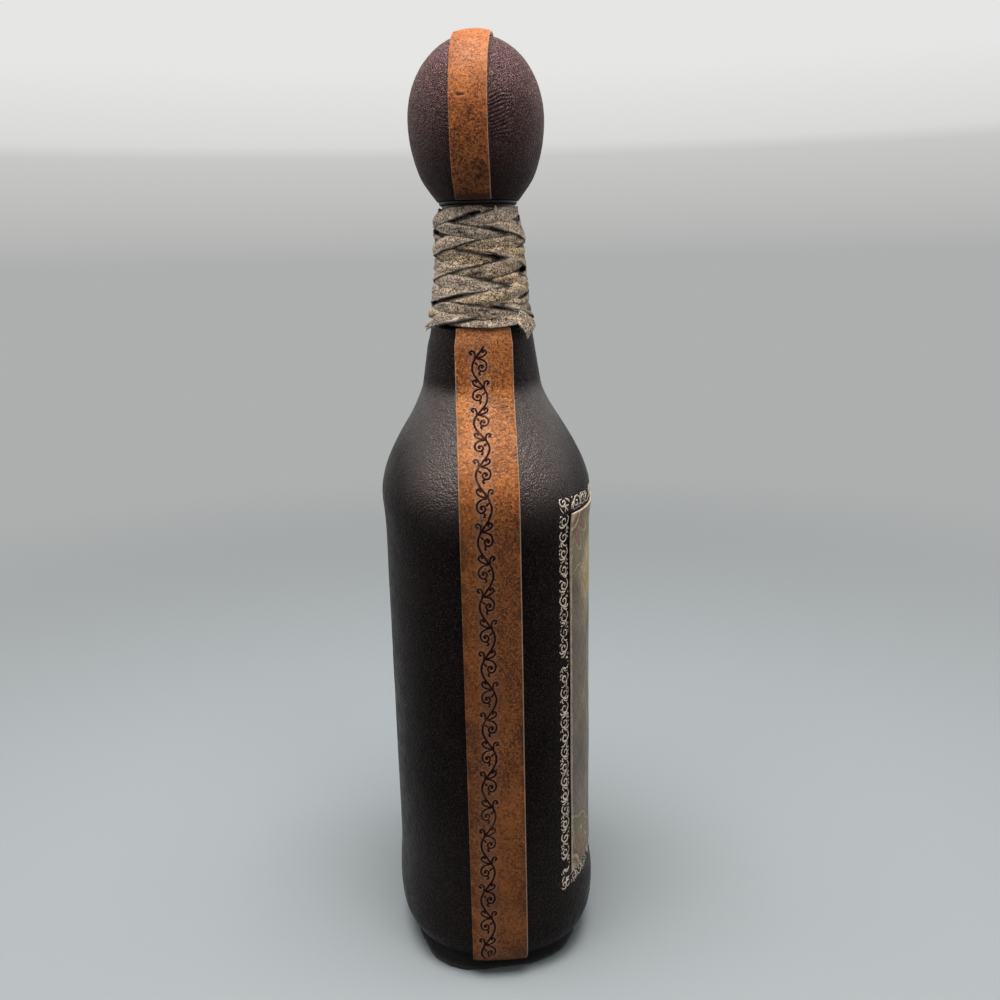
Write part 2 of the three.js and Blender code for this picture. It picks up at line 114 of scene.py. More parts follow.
def smooth(low, high, value):
    """0 at low and before, 1 at high and after, eased between. Low may be the larger."""
    t = np.clip((value - low) / (high - low), 0, 1)
    return t * t * (3 - 2 * t)


def lerp(a, b, t):
    return a + (b - a) * t


def stacked(*parts):
    """Coordinates joined into points."""
    return np.stack(np.broadcast_arrays(*parts), axis=-1)


def unit(vectors):
    return vectors / np.linalg.norm(vectors, axis=-1, keepdims=True)


def travel(points):
    """Distance gone along a line of points."""
    return np.concatenate([[0], np.cumsum(np.linalg.norm(np.diff(points, axis=0), axis=1))])


def full_turn(count):
    """Angles all the way round, in equal steps."""
    return np.arange(count) * 2 * PI / count


def polar(radius, angle, z):
    return stacked(radius * np.cos(angle), radius * np.sin(angle), z)


class Noise:
    """Gradient noise in space, about -1 to 1, the same on every run."""

    def __init__(self, seed):
        draw = np.random.default_rng(seed)
        self.slopes = unit(draw.normal(size=(256, 3)))
        self.order = draw.permutation(256)

    def once(self, points):
        cell = np.floor(points).astype(int)
        part = points - cell
        ease = part ** 3 * (part * (part * 6 - 15) + 10)
        total = np.zeros(points.shape[:-1])
        for corner in np.ndindex(2, 2, 2):
            key = 0
            for axis in range(3):
                key = self.order[(key + cell[..., axis] + corner[axis]) & 255]
            reach = np.sum(self.slopes[key] * (part - corner), axis=-1)
            weight = np.prod(np.where(corner, ease, 1 - ease), axis=-1)
            total += reach * weight
        return total * 1.7

    def at(self, points, size, octaves=1):
        """Noise at points in millimetres, with bumps about that size."""
        total = 0
        for octave in range(octaves):
            total = total + self.once(points * (2 ** octave) / np.asarray(size)) / 2 ** octave
        return total

    def creases(self, points, size):
        """0 on flat ground and up to 1 along thin winding lines."""
        return smooth(0.22, 0, np.abs(self.once(points / np.asarray(size))))


ground_noise = Noise(3)
crease_noise = Noise(11)
fine_noise = Noise(29)
print_noise = Noise(47)


# The bottle's outside, along stages from under the base (0) to the lip (6)

FOOT_SHARE = (NECK_FOOT_RADIUS - NECK_RADIUS) / (BOTTLE_DEPTH / 2 - NECK_RADIUS)


def cubic(a, b, c, d, t):
    s = 1 - t
    return a * s ** 3 + 3 * b * s * s * t + 3 * c * s * t * t + d * t ** 3


def quadratic(a, b, c, t):
    s = 1 - t
    return a * s * s + 2 * b * s * t + c * t * t


def station(stage):
    """Share of the body's section, inset from it and height."""
    stage = np.asarray(stage, float)
    stretch = np.clip(np.floor(stage), 0, 5)
    t = stage - stretch
    turn = t * PI / 2
    is_stretch = [stretch == i for i in range(5)]
    sweep_share = FOOT_SHARE * (1 + SHOULDER_SWEEP / NECK_TAPER)
    share = np.select(
        is_stretch,
        [1, 1, 1, cubic(1, 1, sweep_share, FOOT_SHARE, t), quadratic(FOOT_SHARE, 0, 0, t)],
        0,
    )
    inset = np.select(
        is_stretch[:2],
        [HEEL_RADIUS + HEM_WIDTH * (1 - t), HEEL_RADIUS * (1 - np.sin(turn))],
        0,
    )
    heel_top = GLASS_BOTTOM + HEEL_RADIUS
    taper_z = NECK_FOOT_Z + NECK_TAPER
    z = np.select(
        is_stretch,
        [
            GLASS_BOTTOM,
            GLASS_BOTTOM + HEEL_RADIUS * (1 - np.cos(turn)),
            lerp(heel_top, SHOULDER_Z, t),
            cubic(SHOULDER_Z, SHOULDER_Z + SHOULDER_ROUND, NECK_FOOT_Z - SHOULDER_SWEEP, NECK_FOOT_Z, t),
            quadratic(NECK_FOOT_Z, taper_z, taper_z + NECK_FADE, t),
        ],
        lerp(taper_z + NECK_FADE, LIP_Z - LIP_ROUND, t),
    )
    return share, inset, z


def section(share, inset):
    """Half width, half depth and power of a section."""
    half_width = lerp(NECK_RADIUS, BOTTLE_WIDTH / 2, share) - inset
    half_depth = lerp(NECK_RADIUS, BOTTLE_DEPTH / 2, share) - inset
    return half_width, half_depth, lerp(2, SECTION_POWER, share)


def ring_shape(stage):
    share, inset, z = station(stage)
    return *section(share, inset), z


def section_radius(half_width, half_depth, power, angle):
    across = np.abs(np.cos(angle) / half_width) ** power
    deep = np.abs(np.sin(angle) / half_depth) ** power
    return (across + deep) ** (-1 / power)


def on_glass(angle, stage):
    half_width, half_depth, power, z = ring_shape(stage)
    return polar(section_radius(half_width, half_depth, power, angle), angle, z)


def outward(angle, stage):
    """Direction straight out of the glass."""
    step = 1e-3
    around = on_glass(angle + step, stage) - on_glass(angle - step, stage)
    up = on_glass(angle, np.minimum(stage + step, 6)) - on_glass(angle, np.maximum(stage - step, 0))
    return unit(np.cross(around, up))


def outside(angle, stage, distance):
    """Points at a distance out from the glass."""
    angle, stage, distance = np.broadcast_arrays(angle, stage, distance)
    return on_glass(angle, stage) + outward(angle, stage) * distance[..., None]


def pushed_out(points, angle, stage, amount):
    """Points moved straight out of the glass by an amount of their own."""
    return points + outward(*np.broadcast_arrays(angle, stage)) * amount[..., None]


# from the start of the heel, because the height is the same all over stage 0
STAGE_TABLE = np.linspace(0, 5.999, 6000)[1000:]
HEIGHT_TABLE = station(STAGE_TABLE)[2]


def stage_at(z):
    return np.interp(z, HEIGHT_TABLE, STAGE_TABLE)


def spaced_stages(start, end, angle, step):
    """Stages between two, with about that step in millimetres, which may depend on height."""
    table = np.linspace(start, end, 4000)
    points = outside(np.full_like(table, angle), table, LEATHER_OUT)
    lengths = np.linalg.norm(np.diff(points, axis=0), axis=1)
    steps = step(points[1:, 2]) if callable(step) else step
    travelled = np.concatenate([[0], np.cumsum(lengths / steps)])
    count = int(round(travelled[-1]))
    return np.interp(np.linspace(0, travelled[-1], count + 1), travelled, table)


def side_angle(stage, y, side):
    half_width, half_depth, power, _ = ring_shape(stage)
    x = half_width * (1 - np.abs(y / half_depth) ** power) ** (1 / power)
    angle = np.arctan2(y, x)
    return angle if side > 0 else PI - angle


def outside_angle(stage, wanted, distance, side):
    """Angle whose point at a distance out from the glass lies at a wanted y."""
    y = wanted
    for _ in range(12):
        y = y * wanted / outside(side_angle(stage, y, side), stage, distance)[..., 1]
    return side_angle(stage, y, side)


# How far the leather swells over the glass, and where
HEEL_SWELL = 0.85
HEEL_SWELL_Z = 20
SHOULDER_SWELL_FRONT = 0.7
SHOULDER_SWELL_REAR = 1.0
SHOULDER_SWELL_Z = 175
SWELL_REACH = 9
NECK_SWELL = 0.5
FRONT_SWELL = -1.0
UNEVEN_SWELL = 0.16
UNEVEN_SIZE = 26


def swell_at(z, middle):
    return np.exp(-((z - middle) / SWELL_REACH) ** 2)


def lift(points):
    """Slow swelling of everything that is glued on the glass."""
    _, y, z = np.moveaxis(points, -1, 0)
    heel = HEEL_SWELL * swell_at(z, HEEL_SWELL_Z) * smooth(5, 14, z)
    front = FRONT_SWELL * smooth(-22, -33, y) * smooth(22, 36, z) * smooth(178, 162, z)
    shoulder = lerp(SHOULDER_SWELL_FRONT, SHOULDER_SWELL_REAR, smooth(-10, 10, y))
    shoulder = shoulder * swell_at(z, SHOULDER_SWELL_Z)
    neck = NECK_SWELL * smooth(2, 10, y) * smooth(198, 206, z) * smooth(LEATHER_TOP, LEATHER_TOP - 6, z)
    rest = smooth(8, 30, z) * smooth(LEATHER_TOP, LEATHER_TOP - 21, z)
    # the heel and the shoulder swell on the broad faces only
    faces = smooth(11, 27, np.abs(y))
    uneven = UNEVEN_SWELL * rest * ground_noise.at(points, UNEVEN_SIZE)
    return (heel + shoulder) * faces + front + neck + uneven


def dressed(angle, stage, distance):
    """Like outside, with the swelling."""
    points = outside(angle, stage, distance)
    return pushed_out(points, angle, stage, lift(points))


# Meshes

def grid_faces(rows, columns, start=0, closed=False):
    row = np.arange(rows - 1)[:, None] * columns + start
    column = np.arange(columns if closed else columns - 1)
    after = (column + 1) % columns
    quads = np.stack([row + column, row + after, row + columns + after, row + columns + column], axis=-1)
    return quads.reshape(-1, 4)


def zip_faces(first, second):
    """Triangles between two rows of unequal length, facing back along the rows."""
    faces = []
    i = j = 0
    while i < len(first) - 1 or j < len(second) - 1:
        first_share = (i + 1) / max(len(first) - 1, 1)
        second_share = (j + 1) / max(len(second) - 1, 1)
        if j == len(second) - 1 or (i < len(first) - 1 and first_share <= second_share):
            faces.append((first[i + 1], first[i], second[j]))
            i += 1
        else:
            faces.append((second[j], second[j + 1], first[i]))
            j += 1
    return faces


def skin(outer, inner):
    """Closed skin from an outer and an inner grid with equally many rows."""
    rows, columns = outer.shape[:2]
    inner_columns = inner.shape[1]
    start = rows * columns
    points = np.concatenate([outer.reshape(-1, 3), inner.reshape(-1, 3)])
    out_index = np.arange(start).reshape(rows, columns)
    in_index = start + np.arange(rows * inner_columns).reshape(rows, inner_columns)
    faces = grid_faces(rows, columns).tolist()
    faces += grid_faces(rows, inner_columns, start)[:, ::-1].tolist()
    near = np.stack([out_index[:-1, 0], out_index[1:, 0], in_index[1:, 0], in_index[:-1, 0]], axis=1)
    far = np.stack([out_index[1:, -1], out_index[:-1, -1], in_index[:-1, -1], in_index[1:, -1]], axis=1)
    faces += near.tolist() + far.tolist()
    faces += zip_faces(out_index[0], in_index[0])
    faces += [face[::-1] for face in zip_faces(out_index[-1], in_index[-1])]
    return points, faces


def tube(rings):
    """Closed tube through rings of points, with flat ends."""
    count, sides = rings.shape[:2]
    faces = grid_faces(count, sides, closed=True).tolist()
    faces.append(list(range(sides))[::-1])
    faces.append(list(range((count - 1) * sides, count * sides)))
    return rings.reshape(-1, 3), faces


def loft(rings, low, high):
    """Closed solid through rings, closed at both ends at a point."""
    count, sides = rings.shape[:2]
    points = np.concatenate([rings.reshape(-1, 3), [low, high]])
    faces = grid_faces(count, sides, closed=True).tolist()
    last = (count - 1) * sides
    for i in range(sides):
        after = (i + 1) % sides
        faces.append((len(points) - 2, after, i))
        faces.append((len(points) - 1, last + i, last + after))
    return points, faces


def hoop(profiles):
    """Closed hoop through closed profiles that stand round an axis."""
    count, around = profiles.shape[:2]
    index = np.arange(count * around).reshape(count, around)
    after = np.roll(index, -1, axis=0)
    upper = np.roll(index, -1, axis=1)
    both = np.roll(after, -1, axis=1)
    faces = np.stack([index, after, both, upper], axis=-1).reshape(-1, 4)
    return profiles.reshape(-1, 3), faces.tolist()


def join(shapes):
    """Several closed shapes as one mesh."""
    points, faces, start = [], [], 0
    for some_points, some_faces in shapes:
        points.append(some_points)
        faces += [[start + i for i in face] for face in some_faces]
        start += len(some_points)
    return np.concatenate(points), faces


def add_object(name, data):
    made = bpy.data.objects.new(name, data)
    bpy.context.scene.collection.objects.link(made)
    return made


def piece(name, shape, material, body, nodes=(), values=None, colours=None, crisp=50):
    """One object of the scene, from points in millimetres."""
    points, faces = shape
    mesh = bpy.data.meshes.new(name)
    mesh.from_pydata((points * MM).tolist(), [], faces)
    for key, value in (values or {}).items():
        layer = mesh.attributes.new(key, "FLOAT", "POINT")
        layer.data.foreach_set("value", np.ascontiguousarray(value, np.float32).ravel())
    for key, value in (colours or {}).items():
        layer = mesh.attributes.new(key, "FLOAT_COLOR", "POINT")
        full = np.ones((len(points), 4), np.float32)
        full[:, :3] = value
        layer.data.foreach_set("color", full.ravel())
    mesh.polygons.foreach_set("use_smooth", np.ones(len(mesh.polygons), bool))
    mesh.set_sharp_from_angle(angle=math.radians(crisp))
    mesh.materials.append(material)
    made = add_object(name, mesh)
    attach(made, body)
    if nodes:
        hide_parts(*nodes)


def with_inner(values, inner, fill=0.0):
    """Values of an outer grid, followed by as many fills as the inner grid has points."""
    return np.concatenate([np.ravel(values), np.full(inner.shape[0] * inner.shape[1], fill)])


# Materials

class Nodes:
    """Short ways to add nodes to a tree."""

    def __init__(self, tree):
        self.tree = tree

    def put(self, socket, value):
        if isinstance(value, bpy.types.NodeSocket):
            self.tree.links.new(value, socket)
        elif socket.type == "RGBA":
            socket.default_value = (*value, 1)
        else:
            socket.default_value = value

    def node(self, kind, sockets=None, **settings):
        made = self.tree.nodes.new("ShaderNode" + kind)
        for key, value in settings.items():
            setattr(made, key, value)
        for key, value in (sockets or {}).items():
            self.put(made.inputs[key], value)
        return made

    def math(self, operation, a, b=0.0):
        return self.node("Math", {0: a, 1: b}, operation=operation).outputs[0]


class Surface(Nodes):
    """A material. Sizes in it are in millimetres."""

    def __init__(self, name, **sockets):
        self.material = bpy.data.materials.new(name)
        self.material.use_nodes = True
        super().__init__(self.material.node_tree)
        self.shader = self.tree.nodes["Principled BSDF"]
        place = self.node("TexCoord").outputs["Object"]
        self.place = self.node("VectorMath", {"Vector": place, "Scale": 1 / MM}, operation="SCALE").outputs[0]
        self.set(**sockets)

    def set(self, **sockets):
        for key, value in sockets.items():
            self.put(self.shader.inputs[key.replace("_", " ")], value)

    def stretched(self, stretch):
        if stretch is None:
            return self.place
        return self.node("VectorMath", {0: self.place, 1: stretch}, operation="MULTIPLY").outputs[0]

    def noise(self, size, detail=3, roughness=0.55, distortion=0, stretch=None):
        sockets = {"Vector": self.stretched(stretch), "Scale": 1 / size, "Detail": detail}
        sockets.update({"Roughness": roughness, "Distortion": distortion})
        return self.node("TexNoise", sockets).outputs["Fac"]

    def cells(self, size, feature="F1", stretch=None):
        sockets = {"Vector": self.stretched(stretch), "Scale": 1 / size}
        return self.node("TexVoronoi", sockets, feature=feature).outputs["Distance"]

    def value(self, name):
        return self.node("Attribute", attribute_name=name).outputs["Fac"]

    def colour(self, name):
        return self.node("Attribute", attribute_name=name).outputs["Color"]

    def range(self, value, low, high, to_low=0.0, to_high=1.0):
        sockets = {"Value": value, "From Min": low, "From Max": high, "To Min": to_low, "To Max": to_high}
        return self.node("MapRange", sockets, interpolation_type="SMOOTHSTEP").outputs[0]

    def mix(self, amount, a, b):
        made = self.node("Mix", data_type="RGBA")
        for index, value in ((0, amount), (6, a), (7, b)):
            self.put(made.inputs[index], value)
        return made.outputs[2]

    def over(self, colour, tint, where, share):
        """Colour with a tint laid over it, at most by that share."""
        return self.mix(self.math("MULTIPLY", where, share), colour, tint)

    def relief(self, raised, raised_share, sunk):
        """Height of a ground that is raised in some places and sunk in others."""
        return self.math("SUBTRACT", self.math("MULTIPLY", raised, raised_share), sunk)

    def bump(self, height, depth):
        return self.node("Bump", {"Height": height, "Distance": depth * MM}).outputs[0]


# Where wear comes in on the dark leather, and where painted shade darkens the ball: heights, and distances
# from the strips' middle
POLISH_BELOW = (158, 188)
POLISH_ABOVE = (214, 204)
POLISH_BESIDE = (34, 15)
DUST_HEIGHTS = (120, 25)
BALL_SHADE_HEIGHTS = (314, 272)


def pebbled_leather(name, dark, pale, crevice, grain, depth, rough, gloss, polish, low_shade):
    """Leather with a pebbled grain of that size. Its pale specks are painted glints, and low_shade is the
    share of painted shade towards the ball's foot.
    """
    made = Surface(name, Specular_IOR_Level=gloss)
    place = made.node("SeparateXYZ", {0: made.place}).outputs
    cells = made.cells(grain, "SMOOTH_F1")
    patches = made.range(made.noise(16, 4), 0.35, 0.68)
    colour = made.mix(patches, dark, pale)
    speck = made.range(made.noise(grain * 0.9, 3, 0.7), 0.58, 0.4)
    colour = made.over(colour, crevice, speck, 0.95)
    hollow = made.range(cells, 0.42, 0.75)
    colour = made.over(colour, crevice, hollow, 0.7)
    # pale specks on the grain: painted glints
    painted_glint = made.range(made.noise(grain * 0.8, 2, 0.6), 0.54, 0.62)
    colour = made.over(colour, tuple(3.2 * c for c in pale), painted_glint, 0.9)
    # darker towards the ball's foot: painted shade, since the lamps light it from above
    colour = made.mix(made.range(place["Z"], *BALL_SHADE_HEIGHTS, 0, low_shade), colour, crevice)
    # hands have polished the shoulder beside the strips, and dust lies low down
    held = made.math("MULTIPLY", made.range(place["Z"], *POLISH_BELOW), made.range(place["Z"], *POLISH_ABOVE))
    beside = made.range(made.math("ABSOLUTE", place["Y"]), *POLISH_BESIDE)
    polished = made.range(made.math("MULTIPLY", held, beside), 0, 1, gloss, polish)
    dusty = made.range(place["Z"], *DUST_HEIGHTS, 0, 2.0 * gloss)
    made.set(
        Base_Color=colour,
        Roughness=made.range(made.noise(5, 4), 0.3, 0.7, *rough),
        Specular_IOR_Level=made.math("MAXIMUM", polished, dusty),
        Specular_Tint=(1, 0.82, 0.76),
        Normal=made.bump(made.relief(made.noise(grain * 0.7, 3, 0.65), 0.8, cells), depth),
    )
    return made.material


def tan_leather(name, bright, deep, dark, grain, depth, gloss):
    """Antiqued tan leather. Values on the mesh say where it is inked, where its ground is tinted with a
    painted highlight beside the lines, where it is stained or darkened by painted shade, or peppered.
    """
    ink_colour = (0.013, 0.004, 0.006)
    ground_and_highlight_colour = (0.3, 0.175, 0.125)
    raw_edge = (0.6, 0.38, 0.25)
    made = Surface(name, Specular_IOR_Level=gloss)
    cloud = made.range(made.noise(11, 5, 0.6, 0.5), 0.32, 0.68)
    colour = made.mix(cloud, bright, deep)
    mottle = made.range(made.noise(grain, 4, 0.7), 0.47, 0.62)
    colour = made.over(colour, dark, mottle, 0.75)
    light_speck = made.range(made.noise(grain * 0.7, 3, 0.7), 0.54, 0.66)
    colour = made.over(colour, tuple(1.9 * c for c in bright), light_speck, 0.7)
    # the tooled ground's tint, and beside the inked lines a painted highlight
    colour = made.over(colour, ground_and_highlight_colour, made.value("ground_tint_and_highlight"), 0.5)
    worms = made.range(made.noise(0.75, 2, 0.5, 0.7), 0.525, 0.57)
    colour = made.over(colour, dark, worms, made.value("pepper"))
    # marks and dirt, and painted shade in folds, wrinkles, towards the foot and lower down, darken it
    colour = made.mix(made.value("stain_and_shade"), colour, tuple(0.75 * c for c in dark))
    colour = made.over(colour, raw_edge, made.value("edge"), 0.5)
    ink = made.value("ink")
    rough = made.range(made.noise(2.4, 4), 0.3, 0.7, 0.44, 0.62)
    height = made.relief(made.noise(0.7, 3), 0.9, made.cells(0.8, "SMOOTH_F1"))
    made.set(
        Base_Color=made.mix(ink, colour, ink_colour),
        Roughness=made.math("ADD", rough, made.math("MULTIPLY", ink, 0.25)),
        Specular_IOR_Level=made.range(ink, 0, 1, gloss, 0.04),
        Specular_Tint=(1, 0.97, 0.68),
        Normal=made.bump(height, depth),
    )
    return made.material


def suede_material():
    """Suede of several greys and ochres. Values on the mesh give the tint, pale edges, and stains with
    painted shade.
    """
    rose = (0.44, 0.29, 0.25)
    shadow = (0.03, 0.019, 0.012)
    fluff = (0.86, 0.72, 0.54)
    raw_edge = (0.78, 0.68, 0.56)
    dirt_and_shade = (0.012, 0.009, 0.007)
    made = Surface("suede", Roughness=0.93, Specular_IOR_Level=0.15, Sheen_Weight=0.1, Sheen_Roughness=0.5)
    cloud = made.range(made.noise(3.2, 5, 0.65), 0.36, 0.66)
    grey = made.mix(cloud, (0.33, 0.25, 0.19), (0.64, 0.5, 0.385))
    ochre = made.mix(cloud, (0.38, 0.25, 0.12), (0.7, 0.52, 0.27))
    colour = made.mix(made.value("tint"), grey, ochre)
    colour = made.over(colour, rose, made.range(made.noise(6.5, 3), 0.5, 0.66), 0.45)
    colour = made.over(colour, shadow, made.range(made.noise(0.6, 3, 0.7), 0.46, 0.57), 0.92)
    colour = made.over(colour, fluff, made.range(made.noise(0.55, 3, 0.7), 0.56, 0.66), 0.85)
    colour = made.over(colour, raw_edge, made.value("edge"), 0.3)
    # dirt, and painted shade on the laces' sides, in creases and under crossings
    colour = made.mix(made.value("stain_and_shade"), colour, dirt_and_shade)
    height = made.math("ADD", made.noise(0.7, 4, 0.7), made.math("MULTIPLY", made.noise(1.6, 3), 1.2))
    made.set(Base_Color=colour, Normal=made.bump(height, 0.35))
    return made.material


def print_material():
    """Faded and crackled print. Its colours are on the mesh."""
    faded = (0.24, 0.19, 0.12)
    grime = (0.06, 0.048, 0.036)
    crack_colour = (0.045, 0.036, 0.028)
    made = Surface("aged_print", Coat_Weight=0.05, Coat_Roughness=0.25, Specular_IOR_Level=0.2)
    crack = made.range(made.cells(2.6, "DISTANCE_TO_EDGE"), 0.05, 0.0)
    fade = made.range(made.noise(9, 5, 0.6), 0.35, 0.7)
    colour = made.over(made.colour("print"), faded, fade, 0.25)
    colour = made.over(colour, grime, made.range(made.noise(0.5, 3, 0.7), 0.45, 0.7), 0.5)
    colour = made.over(colour, crack_colour, crack, 0.6)
    height = made.relief(made.noise(0.7, 3), 0.5, crack)
    made.set(Base_Color=colour, Roughness=made.range(fade, 0, 1, 0.42, 0.58), Normal=made.bump(height, 0.03))
    return made.material


def gilt_material():
    made = Surface("worn_gilt", Specular_IOR_Level=0.35)
    worn = made.range(made.noise(0.8, 5, 0.75), 0.45, 0.57)
    broad = made.range(made.noise(7, 3), 0.4, 0.65)
    rub = made.math("MULTIPLY", worn, made.range(broad, 0, 1, 0.35, 1))
    foil = made.mix(made.noise(1.7, 3), (0.78, 0.68, 0.54), (0.58, 0.48, 0.37))
    made.set(
        Base_Color=made.mix(rub, foil, (0.07, 0.05, 0.04)),
        Metallic=made.range(rub, 0, 1, 0.12, 0),
        Roughness=made.range(rub, 0, 1, 0.4, 0.6),
        Normal=made.bump(made.noise(0.5, 3), 0.04),
    )
    return made.material


def felt_material():
    made = Surface("felt", Roughness=0.97, Specular_IOR_Level=0.15, Sheen_Weight=0.15, Sheen_Roughness=0.6)
    fibres = made.noise(0.5, 5, 0.75)
    colour = made.mix(made.range(fibres, 0.4, 0.75), (0.0045, 0.0043, 0.0046), (0.016, 0.0155, 0.016))
    made.set(Base_Color=colour, Normal=made.bump(fibres, 0.25))
    return made.material


def gloss_leather_material():
    made = Surface("black_gloss_leather", Specular_IOR_Level=0.16)
    patches = made.noise(2.5, 4)
    made.set(
        Base_Color=made.mix(made.range(patches, 0.35, 0.7), (0.004, 0.0034, 0.0033), (0.012, 0.009, 0.008)),
        Roughness=made.range(patches, 0.3, 0.7, 0.3, 0.46),
        Normal=made.bump(made.noise(0.7, 3), 0.05),
    )
    return made.material


def cork_material():
    made = Surface("cork", Roughness=0.85, Specular_IOR_Level=0.25)
    colour = made.mix(made.range(made.noise(3, 5, 0.6), 0.35, 0.68), (0.5, 0.33, 0.185), (0.36, 0.215, 0.11))
    pits = made.range(made.cells(2.3, stretch=(1, 1, 0.45)), 0.26, 0.14)
    colour = made.over(colour, (0.22, 0.115, 0.05), made.range(made.noise(0.5, 3, 0.7), 0.5, 0.72), 0.4)
    colour = made.over(colour, (0.075, 0.036, 0.018), pits, 0.85)
    made.set(Base_Color=colour, Normal=made.bump(made.relief(made.noise(0.6, 3), 0.4, pits), 0.16))
    return made.material


def wood_material():
    made = Surface("turned_wood", Roughness=0.55)
    rings = made.noise(1.6, 3, 0.5, 0.8, stretch=(1, 1, 0.06))
    fibre = made.noise(0.4, 3, 0.6, 0, stretch=(1, 1, 0.08))
    colour = made.mix(made.range(rings, 0.35, 0.68), (0.5, 0.33, 0.185), (0.35, 0.2, 0.095))
    colour = made.over(colour, (0.2, 0.1, 0.045), made.range(fibre, 0.5, 0.75), 0.4)
    made.set(Base_Color=colour, Normal=made.bump(fibre, 0.06))
    return made.material


def glass_material():
    made = Surface("bottle_glass", Transmission_Weight=0.92, IOR=1.5)
    streaks = made.noise(12, 3, 0.5, 0.4, stretch=(1, 1, 0.4))
    made.set(
        Base_Color=made.mix(made.range(streaks, 0.35, 0.68), (0.3, 0.4, 0.29), (0.4, 0.49, 0.37)),
        Roughness=made.range(streaks, 0.3, 0.7, 0.03, 0.09),
        Normal=made.bump(streaks, 0.05),
    )
    return made.material


dark_leather = pebbled_leather(
    "dark_pebbled_leather",
    dark=(0.0046, 0.0032, 0.003), pale=(0.0088, 0.006, 0.0057), crevice=(0.0016, 0.0011, 0.001),
    grain=0.66, depth=0.32, rough=(0.27, 0.4), gloss=0.035, polish=0.5, low_shade=0.0,
)
ball_leather = pebbled_leather(
    "ball_leather",
    dark=(0.049, 0.0245, 0.0252), pale=(0.076, 0.0405, 0.0395), crevice=(0.0055, 0.003, 0.003),
    grain=0.5, depth=0.26, rough=(0.42, 0.56), gloss=0.09, polish=0.09, low_shade=0.88,
)
strip_leather = tan_leather(
    "strip_leather",
    bright=(0.367, 0.118, 0.027), deep=(0.226, 0.063, 0.0155), dark=(0.034, 0.012, 0.008),
    grain=1.0, depth=0.1, gloss=0.2,
)
band_leather = tan_leather(
    "band_leather",
    bright=(0.385, 0.123, 0.037), deep=(0.25, 0.07, 0.023), dark=(0.03, 0.011, 0.008),
    grain=0.75, depth=0.07, gloss=0.15,
)
suede = suede_material()


# Lines of ornament

def spline(points, count=10):
    """Points along a smooth curve through the given ones."""
    points = np.asarray(points, float)
    ends = np.concatenate([[2 * points[0] - points[1]], points, [2 * points[-1] - points[-2]]])
    t = np.linspace(0, 1, count, endpoint=False)[:, None]
    made = []
    for a, b, c, d in zip(ends, ends[1:], ends[2:], ends[3:]):
        square = 2 * a - 5 * b + 4 * c - d
        cube = 3 * b - a - 3 * c + d
        made.append(0.5 * (2 * b + (c - a) * t + square * t ** 2 + cube * t ** 3))
    return np.concatenate(made + [points[-1:]])


def line_distance(points, line, width):
    """Distance of points from a line, less the line's half width there."""
    width = np.broadcast_to(width, len(line))
    nearest = np.full(points.shape[:-1], 99.0)
    for a, b, w in zip(line, line[1:], width):
        along = b - a
        t = np.clip(((points - a) @ along) / max(along @ along, 1e-9), 0, 1)
        gap = np.linalg.norm(points - a - t[..., None] * along, axis=-1) - w / 2
        nearest = np.minimum(nearest, gap)
    return nearest


# Half a wave of the vine, across and down from a crossing of the stem, in millimetres
VINE_HALF_WAVE = 10.97
VINE_SWING = 2.4
VINE_CURLS = [
    [(-1.05, 1.7), (-0.3, 2.1), (0.8, 2.3), (2.05, 3.3), (2.45, 4.8), (1.85, 6.3), (0.6, 6.6),
     (-0.2, 5.8), (-0.1, 4.8), (0.7, 4.3), (1.25, 4.85), (0.95, 5.4)],
    [(0.45, 6.6), (-0.15, 7.1), (0.1, 7.9)],
    [(-1.0, 1.75), (0.7, 1.35), (1.95, 0.6), (2.35, -0.5), (1.55, -1.2), (1.1, -0.5)],
    [(-1.45, 2.2), (-1.35, 0.7), (-1.75, -0.6), (-2.6, -0.8), (-3.0, 0.0), (-2.5, 0.5)],
    [(-1.35, 3.6), (-0.8, 4.3)],
]
# each with its radius
VINE_DOTS = [
    ((0.95, 5.2), 0.45), ((0.1, 7.8), 0.36), ((1.2, -0.5), 0.42), ((-2.6, 0.3), 0.42), ((-0.85, 4.2), 0.3),
]


def vine(points, line_width):
    """Distance from the inked lines of an endless vine, at points across and down."""
    wave = np.floor(points[..., 1] / VINE_HALF_WAVE)
    down = points[..., 1] - wave * VINE_HALF_WAVE
    mirrored = np.where(wave % 2 == 0, 1, -1)
    here = stacked(points[..., 0] * mirrored, down)
    t = np.linspace(-0.1, 1.1, 40)
    stem = stacked(-VINE_SWING * np.sin(PI * t), VINE_HALF_WAVE * t)
    nearest = line_distance(here, stem, line_width * 1.15)
    for neighbour in (-1, 0, 1):
        flip = (-1, 1) if neighbour else (1, 1)
        moved = (here - (0, neighbour * VINE_HALF_WAVE)) * flip
        for curl in VINE_CURLS:
            nearest = np.minimum(nearest, line_distance(moved, spline(curl, 6), line_width))
        for centre, radius in VINE_DOTS:
            nearest = np.minimum(nearest, np.linalg.norm(moved - centre, axis=-1) - radius)
    return nearest


def worn_down(edge_gap, radius):
    """How far a rounded edge of that radius falls, at a distance in from the edge."""
    inside = np.clip(radius - edge_gap, 0, radius)
    return radius - np.sqrt(np.maximum(radius ** 2 - inside ** 2, 0))


def edge_spaced(width, step, edge_steps):
    """Positions across a width, closer together along both edges."""
    edge = np.asarray(edge_steps, float)
    count = max(2, int(round((width - 2 * edge[-1]) / step)) + 1)
    middle = np.linspace(edge[-1], width - edge[-1], count)
    return np.concatenate([edge[:-1], middle, (width - edge[:-1])[::-1]])


# Glass bottle

